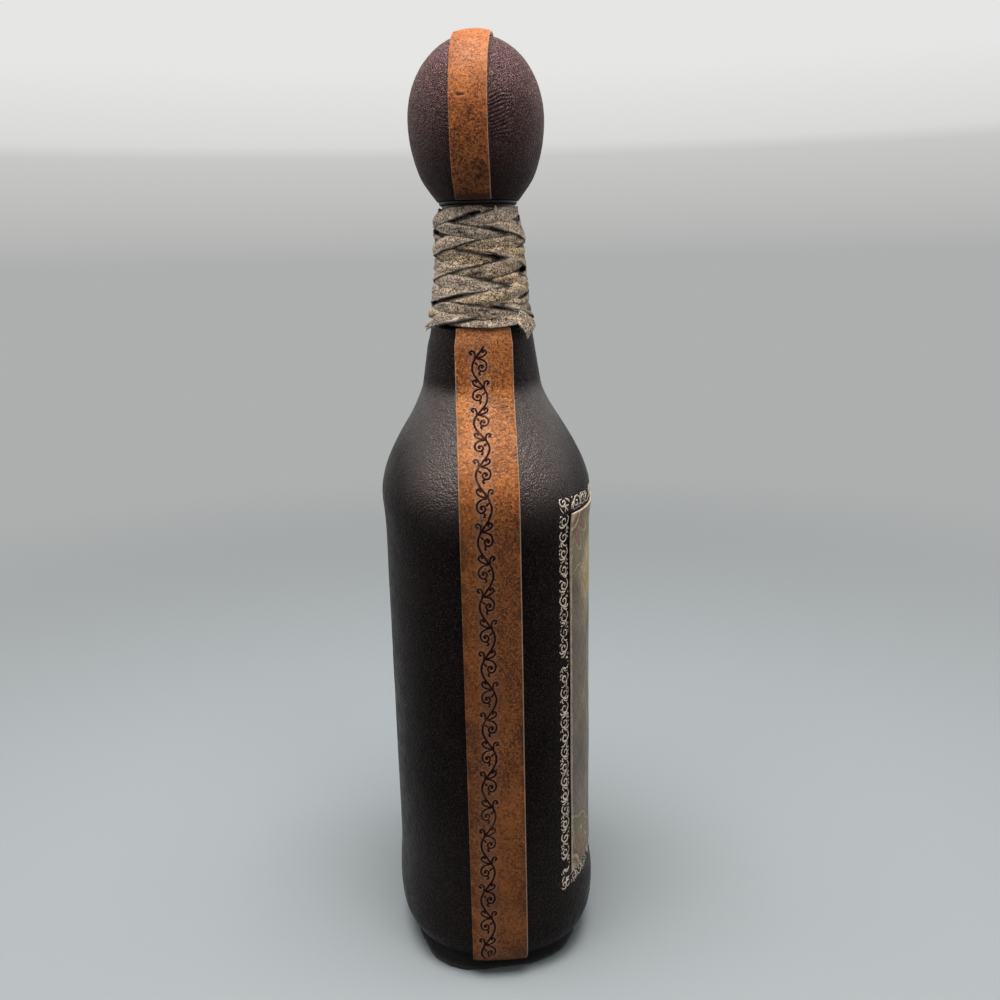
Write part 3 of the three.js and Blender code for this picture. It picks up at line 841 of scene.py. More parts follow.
def glass_shape():
    angle = full_turn(ROUND_SIDES)

    def ring(share, inset, z):
        return polar(section_radius(*section(share, inset), angle), angle, z)

    outer = np.concatenate([np.linspace(1, 2, 9), np.linspace(2, 3, 9)[1:], np.linspace(3, 6, 61)[1:]])
    rings = [ring(1, HEEL_RADIUS + STANDING_RING, GLASS_BOTTOM)]
    rings += [on_glass(angle, np.full_like(angle, stage)) for stage in outer]
    lip = [(12.95, -0.5), (12.35, -0.1), (11.6, 0), (10.6, 0), (9.9, -0.2), (BORE_RADIUS, -0.8)]
    rings += [polar(radius, angle, LIP_Z + drop) for radius, drop in lip]
    # down the inside, round its heel and in to the kick
    floor_z = GLASS_BOTTOM + GLASS_BASE
    heel = HEEL_RADIUS - GLASS_WALL / 2
    for stage in outer[::-1]:
        share, _, z = station(stage)
        if z > floor_z + heel and stage >= 2:
            rings.append(ring(share, lerp(NECK_RADIUS - BORE_RADIUS, GLASS_WALL, share), z))
    for turn in np.linspace(0, PI / 2, 8):
        inset = GLASS_WALL + heel * (1 - math.cos(turn))
        rings.append(ring(1, inset, floor_z + heel * (1 - math.sin(turn))))
    return loft(np.stack(rings), (0, 0, GLASS_BOTTOM + KICK_HEIGHT), (0, 0, floor_z + KICK_HEIGHT))


piece("bottle_glass", glass_shape(), glass_material(), "bottle", ["glass_bottle"])


# Dark leather cover, in two halves that meet under the side strips

def strip_middle(stage, side):
    return (LEFT_STRIP_SHIFT if side < 0 else 0) * station(stage)[0]


def bare_leather(points, stage):
    """1 where the dark leather shows and 0 under a strip or the panel."""
    x, y, z = np.moveaxis(points, -1, 0)
    middle = np.where(x < 0, strip_middle(stage, -1), 0)
    beside_strip = smooth(STRIP_WIDTH / 2, STRIP_WIDTH / 2 + 2, np.abs(y - middle))
    panel = (y < 0) * smooth(PANEL_WIDTH / 2 + 2, PANEL_WIDTH / 2 + 0.3, np.abs(x))
    panel = panel * smooth(PANEL_BOTTOM - 1.8, PANEL_BOTTOM + 0.2, z)
    panel = panel * smooth(PANEL_TOP + 1.7, PANEL_TOP - 0.3, z)
    return beside_strip * (1 - panel)


# thickness that the leather is pared down to under the plait
SKIVED = 0.28
CREASE_DEPTH = 0.24
WRINKLE_DEPTH = 0.09
GRAIN_DEPTH = 0.035
# turns the creases of the front shoulder out of the level
SLANT = np.array([[1, 0, 0], [0, 0.77, 0.64], [0, -0.64, 0.77]])
# half way up the body's straight side
BODY_STAGE = 2.5


def cover_out(angle, stage):
    """Outside of the dark leather, with its creases."""
    pared = smooth(LEATHER_TOP + 0.6, LEATHER_TOP + 2.6, station(stage)[2])
    points = dressed(angle, stage, lerp(LEATHER_OUT, SKIVED, pared))
    _, y, z = np.moveaxis(points, -1, 0)
    shoulder = smooth(SHOULDER_Z - 12, SHOULDER_Z + 10, z) * smooth(NECK_FOOT_Z + 4, NECK_FOOT_Z - 8, z)
    near_strip = smooth(26, 12, np.abs(y))
    level = crease_noise.creases(points, (9, 9, 1.3)) * shoulder * near_strip * (y > 0)
    slant = crease_noise.creases(points @ SLANT.T + 60, (9, 1.5, 8)) * shoulder * near_strip * (y < 0)
    wrinkle = fine_noise.creases(points, (4, 4, 1.6)) * smooth(0.1, 0.6, ground_noise.at(points + 25, 20))
    heel = crease_noise.creases(points + 130, (8, 8, 2.4)) * smooth(24, 10, z) * 0.7
    depth = -CREASE_DEPTH * (level + slant + heel) - WRINKLE_DEPTH * wrinkle
    depth = depth + GRAIN_DEPTH * fine_noise.at(points, 1.7, 2)
    shown = bare_leather(points, stage) * smooth(LEATHER_TOP + 0.6, LEATHER_TOP - 2, z)
    return pushed_out(points, angle, stage, depth * shown)


def cover_fineness(z):
    """Distance between rows, which are closest on the shoulder and furthest apart under the plait."""
    return np.where(z > LEATHER_TOP + 3, 2.5, np.where(z > SHOULDER_Z - 12, 0.5, 0.9))


def cover_shape(side):
    rows = spaced_stages(0.0, stage_at(LIP_Z - 2), -2.2, cover_fineness)[:, None]
    seam = side * LEATHER_IN / 2
    right = side_angle(rows, seam, 1)
    left = side_angle(rows, seam, -1)
    start, end = (right, left) if side > 0 else (left - 2 * PI, right)
    half_way = len(rows) // 2
    table = np.linspace(0, 1, 2000)
    ring = outside(lerp(start[half_way], end[half_way], table), np.full_like(table, BODY_STAGE), LEATHER_OUT)
    travelled = travel(ring)
    share = np.interp(np.linspace(0, travelled[-1], 201), travelled, table)
    outer = cover_out(lerp(start, end, share), rows)
    depth = lerp(LEATHER_IN, 0.05, smooth(LEATHER_TOP - 1, LEATHER_TOP + 0.8, station(rows)[2]))
    inner = outside(lerp(start, end, share[::8]), rows, depth)
    return skin(outer, inner)


piece("front_cover", cover_shape(-1), dark_leather, "bottle", ["front_leather"])
piece("rear_cover", cover_shape(1), dark_leather, "bottle", ["rear_leather"])


# Tan strips up the sides, tooled with a vine

# how far the strip reaches under the plait
STRIP_TUCKED = 1.2
VINE_LINE = 0.52
# the vine's reach to both sides, and its first crossing down from the plait
VINE_REACH = 3.2
VINE_START = 3.7
# the vine was tooled a little closer along this much of the strip's upper end
VINE_CLOSER = 52.8
VINE_SQUEEZE = 1.086
FOLD_PITCH = 1.35

# Nicks on the strip, as points across and height
STRIP_NICKS = [
    [(2.9, 213), (2.5, 211.4), (2.3, 210)],
    [(-9.4, 213), (-8.2, 212), (-7, 212.8)],
    [(-8.8, 209.6), (-7.6, 209), (-6.6, 209.7)],
    [(-9.2, 216.4), (-8.1, 215.4), (-7.4, 214.2)],
    [(6.4, 95), (6.2, 92.5)],
]


def vine_middle(z):
    """Distance of the vine from the strip's middle: it drifts to one side lower down."""
    return 1.8 + 2.6 * smooth(118, 13, z)


def marks(points, lines, width):
    """1 on the lines and 0 away from them."""
    gap = np.min([line_distance(points, spline(line, 6), width) for line in lines], axis=0)
    return smooth(0.22, -0.05, gap)


def strip_shape(side):
    low, high = stage_at(STRIP_BOTTOM), stage_at(LEATHER_TOP + STRIP_TUCKED)
    rows = spaced_stages(low, high, 0 if side > 0 else PI, 0.2)[:, None]
    half = STRIP_WIDTH / 2
    # across grows to the right as the strip is seen from outside with its top up
    across = edge_spaced(STRIP_WIDTH, 0.32, (0, 0.06, 0.14, 0.26, 0.42, 0.6)) - half
    fine = np.arange(-vine_middle(0) - VINE_REACH, -vine_middle(200) + VINE_REACH, 0.15)
    across = np.concatenate([across[across < fine[0] - 0.2], fine, across[across > fine[-1] + 0.2]])
    middle = strip_middle(rows, side)
    left = outside_angle(rows, middle - side * half, STRIP_OUT, side)
    right = outside_angle(rows, middle + side * half, STRIP_OUT, side)
    angle = lerp(left, right, (across + half) / STRIP_WIDTH)
    flat = outside(angle, rows, STRIP_OUT)
    z = flat[..., 2]
    path = outside(lerp(left, right, 0.5), rows, STRIP_OUT)[:, 0]
    up = travel(path)[:, None]
    from_top = up[-1] - up
    down = from_top - STRIP_TUCKED
    edge_gap = np.minimum(half - np.abs(across), np.minimum(up, from_top))

    # tooling: inked lines, and a lip pushed up along them
    from_vine = across + vine_middle(path[:, 2:])
    squeezed = VINE_CLOSER + (down - VINE_CLOSER) * VINE_SQUEEZE
    along_vine = np.where(down < VINE_CLOSER, squeezed, down) - VINE_START
    gap = vine(stacked(from_vine, along_vine), VINE_LINE) + 0.05 * fine_noise.at(flat, 0.9, 2)
    shown = smooth(-2.9, -2.2, along_vine) * smooth(2.2, 3.4, up) * np.ones_like(across)
    ink = smooth(0.14, -0.04, gap) * shown
    lip = smooth(0.75, 0.25, gap) * (1 - ink) * shown
    rubbed = smooth(-0.35, 0.25, fine_noise.at(flat, 6, 2) + 0.25)

    # nicks, fine curved folds low down on the right, and short wrinkles on the shoulder
    nick = marks(stacked(across, z), STRIP_NICKS, 0.25)
    sweep = across + 0.4 * (z - 10) - 0.012 * (z - 10) ** 2 + 0.5 * fine_noise.at(flat, 4)
    fold = smooth(0.45, 0.95, np.sin(2 * PI * sweep / FOLD_PITCH))
    fold = fold * smooth(-0.5, 1.5, across) * smooth(9.6, 8.4, across)
    fold = fold * smooth(26, 17, z + 0.9 * across) * smooth(-0.5, 0.3, crease_noise.at(flat, 3.4))
    wrinkle = crease_noise.creases(flat, (3.2, 3.2, 1.3))
    wrinkle = wrinkle * smooth(178, 190, z) * smooth(216, 205, z) * smooth(0, 3, across)
    depth = -0.26 * ink + 0.07 * lip - 0.14 * nick - 0.17 * fold - 0.13 * wrinkle
    depth = depth - worn_down(edge_gap, 0.5)
    depth = depth + 0.05 * fine_noise.at(flat, 2.4, 2) + 0.03 * fine_noise.at(flat, 0.9)
    skived = 0.95 * smooth(5.5, -0.6, down)
    outer = dressed(angle, rows, STRIP_OUT + depth - skived)
    inner = dressed(lerp(left, right, np.linspace(0, 1, 9)), rows, STRIP_IN)

    # colour: rubbed ground, peppering, nicks, darkened edges, painted shade in the folds and wrinkles and
    # below the shoulder, and the cut edges
    ground = smooth(3.5, 2.8, np.abs(from_vine)) * shown
    worn = smooth(-0.1, 0.5, fine_noise.at(flat, (30, 14, 22), 2) + 0.2 * smooth(-1, 4, from_vine))
    pepper = worn * smooth(20, 70, z) * smooth(200, 160, z)
    pepper = np.clip(np.maximum(pepper, 0.6 * smooth(180, 205, z)) + 0.15, 0, 1) * 0.85
    light_edge = smooth(0.6, 0.15, edge_gap) * np.where(across > 0, 1, lerp(0.1, 0.8, smooth(150, 190, z)))
    cloudy = smooth(0.0, 0.6, ground_noise.at(flat, 15, 2)) * smooth(206, 170, z)
    # darker below the shoulder: painted shade, where the top lamp reaches less; with cloudy patches, and
    # darker towards the plait
    shade_and_cloud = 0.42 * smooth(190, 164, z) + 0.18 * cloudy + 0.26 * smooth(204, 226, z)
    dark_edge = 0.35 * smooth(2.2, 0.5, edge_gap) * smooth(0.0, 0.5, fine_noise.at(flat + 17, 7, 2) + 0.2)
    # nicks are marks; the folds and wrinkles are darkened with painted shade
    stain_and_shade = np.clip(0.7 * nick + 0.8 * fold + 0.5 * wrinkle + shade_and_cloud + dark_edge, 0, 0.85)
    values = {
        "ink": with_inner(ink * lerp(0.82, 1, rubbed), inner),
        # the tooled ground's tint, and beside the inked lines a painted highlight
        "ground_tint_and_highlight": with_inner(np.maximum(0.4 * ground, 0.9 * smooth(1.1, 0.2, gap) * shown), inner),
        "pepper": with_inner(pepper, inner),
        "stain_and_shade": with_inner(stain_and_shade, inner),
        "edge": with_inner(light_edge, inner, 0.6),
    }
    return skin(outer, inner), values


for side, name, node in ((-1, "left_strip", "left_side_strip"), (1, "right_strip", "right_side_strip")):
    shape, values = strip_shape(side)
    piece(name, shape, strip_leather, "bottle", [node], values)


# Front panel with its printed ornament, and the gilt border stamped round it

def panel_print(x, z):
    """Colours of a centre-and-corners ornament: x from the middle, z up from the panel's foot."""
    height = PANEL_TOP - PANEL_BOTTOM
    here = stacked(x, z, 0)
    cloud = print_noise.at(here, 24, 4)
    up = np.clip(z / height + 0.12 * cloud, 0, 1)[..., None]
    low = np.array([0.118, 0.11, 0.106])
    middle = np.array([0.16, 0.128, 0.1])
    top = np.array([0.43, 0.32, 0.13])
    colour = lerp(lerp(low, middle, smooth(0, 0.4, up)), top, smooth(0.62, 0.92, up))
    colour = colour * (1 + 0.6 * cloud)[..., None]

    def paint(amount, tint):
        nonlocal colour
        colour = lerp(colour, np.asarray(tint), np.clip(amount, 0, 1)[..., None])

    def band(value, low, high, soft=0.35):
        return smooth(low - soft, low + soft, value) * smooth(high + soft, high - soft, value)

    umber = (0.055, 0.036, 0.026)
    cream = (0.5, 0.42, 0.27)
    rust = (0.22, 0.075, 0.045)
    olive = (0.15, 0.14, 0.07)

    # lozenge ground with a bud in each lozenge
    pitch = 7
    u = (x + z * 0.7) / pitch
    v = (x - z * 0.7) / pitch
    lattice = np.minimum(np.abs(u - np.round(u)), np.abs(v - np.round(v))) * pitch
    paint(0.5 * smooth(0.75, 0.2, lattice), umber)
    buds = np.hypot(u - np.floor(u) - 0.5, v - np.floor(v) - 0.5) * pitch
    paint(0.55 * smooth(1.15, 0.6, buds), rust)

    def rosette(cx, cz, radius, petals):
        dx, dz = x - cx, z - cz
        r = np.hypot(dx, dz)
        a = np.arctan2(dz, dx)
        lobes = radius * (1 + 0.07 * np.abs(np.cos(a * petals / 2)))
        inside = smooth(0.4, -0.4, r - lobes)
        paint(0.85 * inside, olive)
        paint(0.95 * band(r - lobes, -1.6, 0), umber)
        paint(0.9 * band(r - lobes, -1.2, -0.5, 0.25), cream)
        leaf = np.abs(np.cos(a * petals / 2)) ** 0.6 * radius * 0.78
        paint(0.9 * inside * smooth(0.5, -0.5, r - leaf), rust)
        paint(0.95 * band(r - leaf, -0.7, 0.35) * inside, cream)
        vein = np.abs(np.sin(a * petals / 2)) * r
        paint(0.7 * smooth(0.7, 0.2, vein) * smooth(leaf - 1, leaf - 4, r) * inside, cream)
        paint(smooth(0.4, -0.4, r - radius * 0.34), umber)
        paint(smooth(0.35, -0.35, r - radius * 0.3), cream)
        paint(smooth(0.35, -0.35, r - radius * 0.24), rust)
        seed = np.abs(np.cos(a * petals)) ** 0.5 * radius * 0.18
        paint(smooth(0.3, -0.3, r - seed), cream)

    half = PANEL_WIDTH / 2 + 3
    middle_z = height / 2
    for cx in (-half, half):
        for cz in (0, height):
            rosette(cx, cz, 21, 12)
    for dz in (-1, 1):
        rosette(0, middle_z + dz * 44, 9, 8)
    rosette(0, middle_z, 31, 12)
    inset = np.minimum(half - np.abs(x), np.minimum(z, height - z))
    paint(0.5 * band(inset, 1.9, 2.4, 0.3), umber)
    return np.clip(colour, 0.01, 1)


def front_table():
    """Angles on the front and their distance from the middle along the leather."""
    angle = np.linspace(-PI / 2 - 1.4, -PI / 2 + 1.4, 4001)
    points = outside(angle, np.full_like(angle, BODY_STAGE), PANEL_OUT)
    travelled = travel(points)
    return angle, travelled - travelled[len(angle) // 2], points[:, 0]


FRONT_ANGLE, FRONT_ALONG, FRONT_X = front_table()
PANEL_HALF = float(np.interp(PANEL_WIDTH / 2, FRONT_X, FRONT_ALONG))


def panel_shape():
    edge_steps = (0, 0.08, 0.2, 0.4)
    z = edge_spaced(PANEL_TOP - PANEL_BOTTOM, 0.5, edge_steps)
    rows = stage_at(PANEL_BOTTOM + z)[:, None]
    along = edge_spaced(2 * PANEL_HALF, 0.5, edge_steps) - PANEL_HALF
    angle = np.interp(along, FRONT_ALONG, FRONT_ANGLE)[None, :]
    flat = outside(angle, rows, PANEL_OUT)
    edge_gap = np.minimum(PANEL_HALF - np.abs(along)[None, :], np.minimum(z, z[::-1])[:, None])
    depth = 0.06 * fine_noise.at(flat, 5, 2) - worn_down(edge_gap, 0.3)
    outer = dressed(angle, rows, PANEL_OUT + depth)
    inner = dressed(angle[:, ::6], rows, STRIP_IN)
    # the last of every sixth column may fall short of the edge
    inner[:, -1] = dressed(angle[:, -1:], rows, STRIP_IN)[:, 0]
    colour = panel_print(*np.broadcast_arrays(along, z[:, None]))
    rim = smooth(0.5, 0.2, edge_gap + 0.12 * fine_noise.at(flat, 2))[..., None]
    colour = lerp(colour, np.array([0.55, 0.45, 0.34]), 0.85 * rim)
    back = np.tile((0.5, 0.4, 0.29), (inner.shape[0] * inner.shape[1], 1))
    return skin(outer, inner), {"print": np.concatenate([colour.reshape(-1, 3), back])}


shape, colours = panel_shape()
piece("front_panel", shape, print_material(), "bottle", ["picture_panel"], colours=colours)

BORDER_PITCH = 5.6
BORDER_GAP = 0.8
BORDER_WIDTH = 4.8
BORDER_CORNER = 3.2
# worn: strokes are left thinner than they were stamped, a little out of place, or not at all
STROKE_LEFT = (0.54, 0.9)
STROKE_WANDER = 0.07
STROKES_GONE = 0.14
# one repeat of the border, along and across, with each stroke's width
BORDER_STROKES = [
    ([(-2.7, -1.3), (-1.6, -2.0), (-0.2, -1.7), (0.7, -0.5), (0.3, 0.9), (-0.9, 1.25), (-1.7, 0.5),
      (-1.4, -0.5), (-0.6, -0.45)], 0.78),
    ([(0.5, -0.9), (1.3, 0.4), (1.25, 1.6), (0.4, 2.2)], 0.75),
    ([(0.9, -0.9), (1.7, -0.2), (2.3, 0.7), (2.2, 1.7)], 0.65),
    ([(0.9, -1.3), (1.9, -1.4), (2.7, -0.8)], 0.7),
    ([(-2.2, 1.0), (-2.6, 1.8), (-1.9, 2.2)], 0.62),
    ([(-1.2, 2.0), (-0.5, 2.2)], 0.6),
    ([(1.6, -2.2), (2.3, -2.1)], 0.6),
]
# at the corners a scroll and a fan, along the two sides inwards from the corner
CORNER_STROKES = [
    ([(-2.4, -1.4), (-1.5, -2.3), (-0.3, -1.9), (0.1, -0.7), (-0.7, 0.2), (-1.6, -0.2), (-1.2, -1.0)], 0.8),
    ([(-0.2, -0.4), (0.9, 0.3), (2.0, 0.1)], 0.75),
    ([(-0.4, -0.2), (0.3, 0.9), (0.1, 2.0)], 0.75),
    ([(0.0, 0.0), (1.0, 1.1), (1.9, 1.6)], 0.7),
    ([(-2.2, 0.6), (-1.6, 1.6), (-0.9, 2.4)], 0.65),
    ([(0.6, -2.2), (1.6, -1.6), (2.4, -0.9)], 0.65),
]


def ribbon(line, width, place):
    """Thin closed ribbon along a flat line. place turns flat points and a height into space."""
    direction = unit(np.gradient(line, axis=0))
    across = stacked(-direction[:, 1], direction[:, 0])
    taper = np.sin(np.linspace(0.12, 0.92, len(line)) * PI) ** 0.5
    reach = across * (width / 2 * taper)[:, None]
    corners = [(-1, -0.05), (-0.8, 0.07), (0, 0.1), (0.8, 0.07), (1, -0.05)]
    rings = [place(line + reach * share, height) for share, height in corners]
    return tube(np.stack(rings, axis=1))


def border_shape():
    half = PANEL_HALF + BORDER_GAP + BORDER_WIDTH / 2
    low = PANEL_BOTTOM - BORDER_GAP - BORDER_WIDTH / 2
    high = PANEL_TOP + BORDER_GAP + BORDER_WIDTH / 2
    draw = np.random.default_rng(5)
    height_step = np.linspace(stage_at(15.0), stage_at(192.0), 3000)
    path = outside(np.full_like(height_step, -PI / 2 - 0.7), height_step, LEATHER_OUT)
    travelled = travel(path)
    zero = np.interp(low, path[:, 2], travelled)
    top = np.interp(high, path[:, 2], travelled) - zero

    def place(flat, height):
        angle = np.interp(flat[:, 0], FRONT_ALONG, FRONT_ANGLE)
        stage = np.interp(flat[:, 1] + zero, travelled, height_step)
        return cover_out(angle, stage) + outward(angle, stage) * height

    corners = [(-half, 0), (half, 0), (half, top), (-half, top)]
    shapes = []

    def stroke(points, width, middle, along, out, scale):
        line = spline(points, 4) * scale + draw.normal(0, STROKE_WANDER, 2)
        line = line + STROKE_WANDER * draw.normal(size=line.shape)
        flat = middle + line[:, :1] * along + line[:, 1:] * out
        shapes.append(ribbon(flat, width * draw.uniform(*STROKE_LEFT), place))

    for i, corner in enumerate(corners):
        corner, end = np.array(corner), np.array(corners[(i + 1) % 4])
        along = unit(end - corner)
        out = np.array([along[1], -along[0]])
        for points, width in CORNER_STROKES:
            stroke(points, width, corner, along, -out, 1)
        start = corner + along * BORDER_CORNER
        length = np.linalg.norm(end - corner) - 2 * BORDER_CORNER
        count = int(round(length / BORDER_PITCH))
        for k in range(count):
            flip = 1 if k % 2 == 0 else -1
            middle = start + along * length * (k + 0.5) / count
            for points, width in BORDER_STROKES:
                if draw.random() > STROKES_GONE:
                    stroke(points, width, middle, along, out, (length / count / BORDER_PITCH, flip))
    return join(shapes)


piece("gilt_border", border_shape(), gilt_material(), "bottle", crisp=80)


# Felt under the base

# The felt was cut by hand and sticks out at the left rear corner, this far, at this angle and over this turn
FELT_CORNER = 2.6
FELT_CORNER_ANGLE = 2.68
FELT_CORNER_TURN = 0.34
# its edge, in from the outline and up
FELT_EDGE = [
    (-3, 0.0), (-0.9, 0.0), (-0.25, 0.25), (0, 0.9), (0.05, 1.5), (-0.15, 2.2), (-0.8, 2.55), (-3, 2.6),
]


def felt_shape():
    angle = full_turn(360)
    inset = FELT_INSET - LEATHER_OUT
    radius = section_radius(BOTTLE_WIDTH / 2 - inset, BOTTLE_DEPTH / 2 - inset, SECTION_POWER, angle)
    edge = polar(radius, angle, 0)
    wander = 0.45 * fine_noise.at(edge, 9, 2) + 0.2 * fine_noise.at(edge, 2.2, 2)
    corner = FELT_CORNER * np.exp(-((angle - FELT_CORNER_ANGLE) / FELT_CORNER_TURN) ** 2)
    radius = radius + wander + corner
    rings = []
    for inward, z in FELT_EDGE:
        ring = polar(radius + inward, angle, z)
        if -2 < inward and z > 0:
            ring = ring + polar(0.12 * fine_noise.at(ring, 0.9, 2), angle, 0)
        rings.append(ring)
    return loft(np.stack(rings), (0, 0, 0.0), (0, 0, FELT_THICKNESS))


piece("felt_pad", felt_shape(), felt_material(), "bottle", ["base_felt"])


# Suede plait round the neck

LACE_STARTS = (0, 2 * ROW_TURN)
LACE_PASSES = 4


def plait_radius(angle, z):
    half_width, half_depth, power, _ = ring_shape(stage_at(z))
    return section_radius(half_width, half_depth, power, angle)


def over_under(row):
    return np.where(row % 4 < 2, 1, -1)


LEVELS = np.concatenate([[0], over_under(np.arange(1, PLAIT_ROWS)), [0]])
# a lace's cross section, across and out
LACE_SECTION = [
    (np.sign(math.cos(t)) * abs(math.cos(t)) ** 0.7, math.sin(t)) for t in full_turn(26)
]
# the suede was pushed up a little as it was drawn tight
PLAIT_RISE = 1.0
PLAIT_STRETCH = 1.035
PLAIT_SOFT = 1.3


def held_between(z, low, high):
    """Heights eased in between two limits."""
    over = np.minimum(0, high - PLAIT_SOFT - z) / PLAIT_SOFT
    z = np.where(z > high - PLAIT_SOFT, high - PLAIT_SOFT * np.exp(over), z)
    under = np.minimum(0, z - low - PLAIT_SOFT) / PLAIT_SOFT
    return np.where(z < low + PLAIT_SOFT, low + PLAIT_SOFT * np.exp(under), z)


def over_middles():
    """Middles of a lace's stretches that lie on top, in rows along its way."""
    made = []
    for passing in range(LACE_PASSES):
        firsts = (0.5, 4.5, 8.5, 12.5, 16.5) if passing % 2 == 0 else (3.5, 7.5, 11.5, 15.5)
        made += [passing * PLAIT_ROWS + first for first in firsts]
    return np.array(made)


def lace_shape(start, number):
    """One suede lace along its whole way round the neck, pulled out of shape from stretch to stretch."""
    wave = Noise(60 + number)
    draw = np.random.default_rng(80 + number)
    gone = np.arange(0.4, LACE_PASSES * PLAIT_ROWS - 0.4, 0.04)
    turn_at = np.round(gone / PLAIT_ROWS) * PLAIT_ROWS
    from_turn = gone - turn_at
    at_top = (turn_at / PLAIT_ROWS) % 2 == 1
    rounded = np.sqrt(from_turn ** 2 + 0.45 ** 2) - 0.4 * np.exp(-(from_turn / 0.8) ** 2)
    row = np.where(at_top, PLAIT_ROWS - rounded, rounded)
    rising = np.floor(gone / PLAIT_ROWS).astype(int) % 2 == 0
    lean = np.tanh(from_turn / 0.45) * np.where(at_top, 1, -1)
    below = np.clip(np.floor(row), 0, PLAIT_ROWS - 1).astype(int)
    level = lerp(LEVELS[below], LEVELS[below + 1], smooth(0.2, 0.8, row - below))
    level = level * np.where(rising, 1, -1)
    # every stretch that lies on top has its own shift, slant, width, lift, tilt, fold, colour and middle
    middles = over_middles()
    stretch = np.argmin(np.abs(gone[:, None] - middles), axis=1)
    habits = np.clip(draw.normal(size=(len(middles), 8)), -1.7, 1.7)
    shift, slant, wide, high, tilt, fold, tint, early = habits[stretch].T
    tilt = np.sign(tilt) * (0.5 + 0.6 * np.abs(tilt))
    from_middle = gone - middles[stretch] + 0.18 * early
    on_top = smooth(-0.3, 0.75, level)
    lens = np.cos(np.clip(from_middle / 1.6, -1, 1) * PI / 2) ** 0.8
    along = stacked(gone * 12.0, number * 57.7, 0)
    half = lerp(0.52, 0.6 + 0.08 * wide, lens * on_top) * (1 + 0.08 * wave.at(along, 9, 2))
    steeper = (0.9 * np.where(rising, 1, -1) + 0.4 * slant) * np.clip(from_middle, -1.5, 1.5)
    rise = (0.4 * shift + steeper) * smooth(-1, 0.6, level) + 0.2 * wave.at(along + 90, 14)
    rings, pale, shade_on_sides_and_creases = [], [], []
    for across, out in LACE_SECTION:
        rim = abs(across) ** 4
        ragged = 1 + 0.1 * wave.at(along + 30 * np.sign(across), 2.6, 2) * abs(across)
        edge = across * half * ragged
        angle = start + (gone + lean * edge) * ROW_TURN
        z = PLAIT_BOTTOM + LACE_WIDTH / 2 + (row + edge * (2 - np.abs(lean))) * ROW_HEIGHT + rise
        uneven = 0.35 * wave.at(polar(16, angle, 0), 4, 2)
        foot_z = PLAIT_BOTTOM - 0.2
        z = held_between(z, foot_z + uneven, LIP_Z - 0.2 + 0.5 * uneven)
        z = foot_z + PLAIT_RISE + (z - foot_z) * PLAIT_STRETCH
        spot = polar(16, angle, z)
        flow = stacked(gone * 1.5, across * 3.2, number * 9.1)
        crumple = 0.2 * wave.at(spot, 3.4, 2) + 0.12 * wave.at(spot + 50, 1.5, 2)
        crumple = crumple + 0.2 * wave.at(flow, 1.0, 2) * (1 - rim)
        crown = 0.62 * (1 - across ** 2)
        pull = stacked(gone * 1.1, across * 1.9, number * 5.3)
        line = wave.creases(pull + 40, 1.0) * smooth(-0.1, 0.4, wave.at(pull + 80, 1.6)) * (1 - rim)
        crease = -0.5 * np.exp(-((across - 0.35 * fold) / 0.13) ** 2) * smooth(0.5, 1.1, np.abs(fold))
        curl = 0.5 * rim * smooth(0.1, 0.9, np.where(across < 0, -tilt, tilt)) + 0.12 * rim
        shape = crown + crease + curl + 0.36 * tilt * across + 0.18 * high + crumple - 0.22 * line
        thick = LACE_LEATHER * 0.5 * out * (1 - 0.3 * rim)
        # the neck's glass, and above it the room round the stopper's ring
        least = lerp(plait_radius(angle, z) + 0.34, 13.05, smooth(LIP_Z - 1.1, LIP_Z + 0.1, z))
        radius = plait_radius(angle, z) + LACE_MIDDLE + 1.2 * LACE_SWING * level + thick + shape * on_top
        drawn_in = least + 0.4 + 0.3 * level + thick + 0.5 * crumple
        start_in = LIP_Z - lerp(3.2, 7.5, smooth(0.3, 0.9, -np.sin(angle)))
        radius = lerp(radius, drawn_in, 0.9 * smooth(start_in, start_in + 5.5, z))
        strip = smooth(12.5, 10.5, np.abs(radius * np.sin(angle)))
        foot = smooth(PLAIT_BOTTOM + 6, PLAIT_BOTTOM + 1.6, z)
        flare = (0.9 + 1.1 * strip) * foot * smooth(-0.9, 0.2, level)
        rings.append(polar(np.maximum(radius + flare, least), angle, z))
        rubbed = smooth(0.45, 0.62, abs(across)) * smooth(0.55, 0.8, out) * on_top
        pale.append(rubbed * smooth(-0.6, 0.5, wave.at(along + 200, 20)))
        # the lace's sides and creases are darkened: painted shade
        shade_on_sides_and_creases.append(np.maximum(0.96 * smooth(0.8, 0.55, abs(out)), 0.8 * line * on_top))
    rings = np.stack(rings, axis=1)
    soil = smooth(0.2, 0.8, wave.at(rings, 5, 3)) * 0.35 + 0.16 * smooth(252, 232, rings[..., 2])
    # darkened where a lace runs under another: painted shade
    under_shade = (smooth(0.8, 0.1, on_top) * smooth(0.4, 1.8, np.minimum(row, PLAIT_ROWS - row)))[:, None]
    middle = np.array([1 - across ** 2 for across, _ in LACE_SECTION])
    values = {
        "edge": np.stack(pale, axis=1),
        "tint": np.clip(0.5 + 0.4 * tint, 0, 1)[:, None] * lerp(0.4, 1, middle),
        "stain_and_shade": np.clip(np.maximum(0.75 * under_shade, np.stack(shade_on_sides_and_creases, axis=1)) + soil, 0, 0.96),
    }
    return tube(rings), values


for number, start in enumerate(LACE_STARTS, 1):
    shape, values = lace_shape(start, number)
    piece(f"suede_lace_{number}", shape, suede, "bottle", [f"neck_lace_{number}"], values, crisp=75)


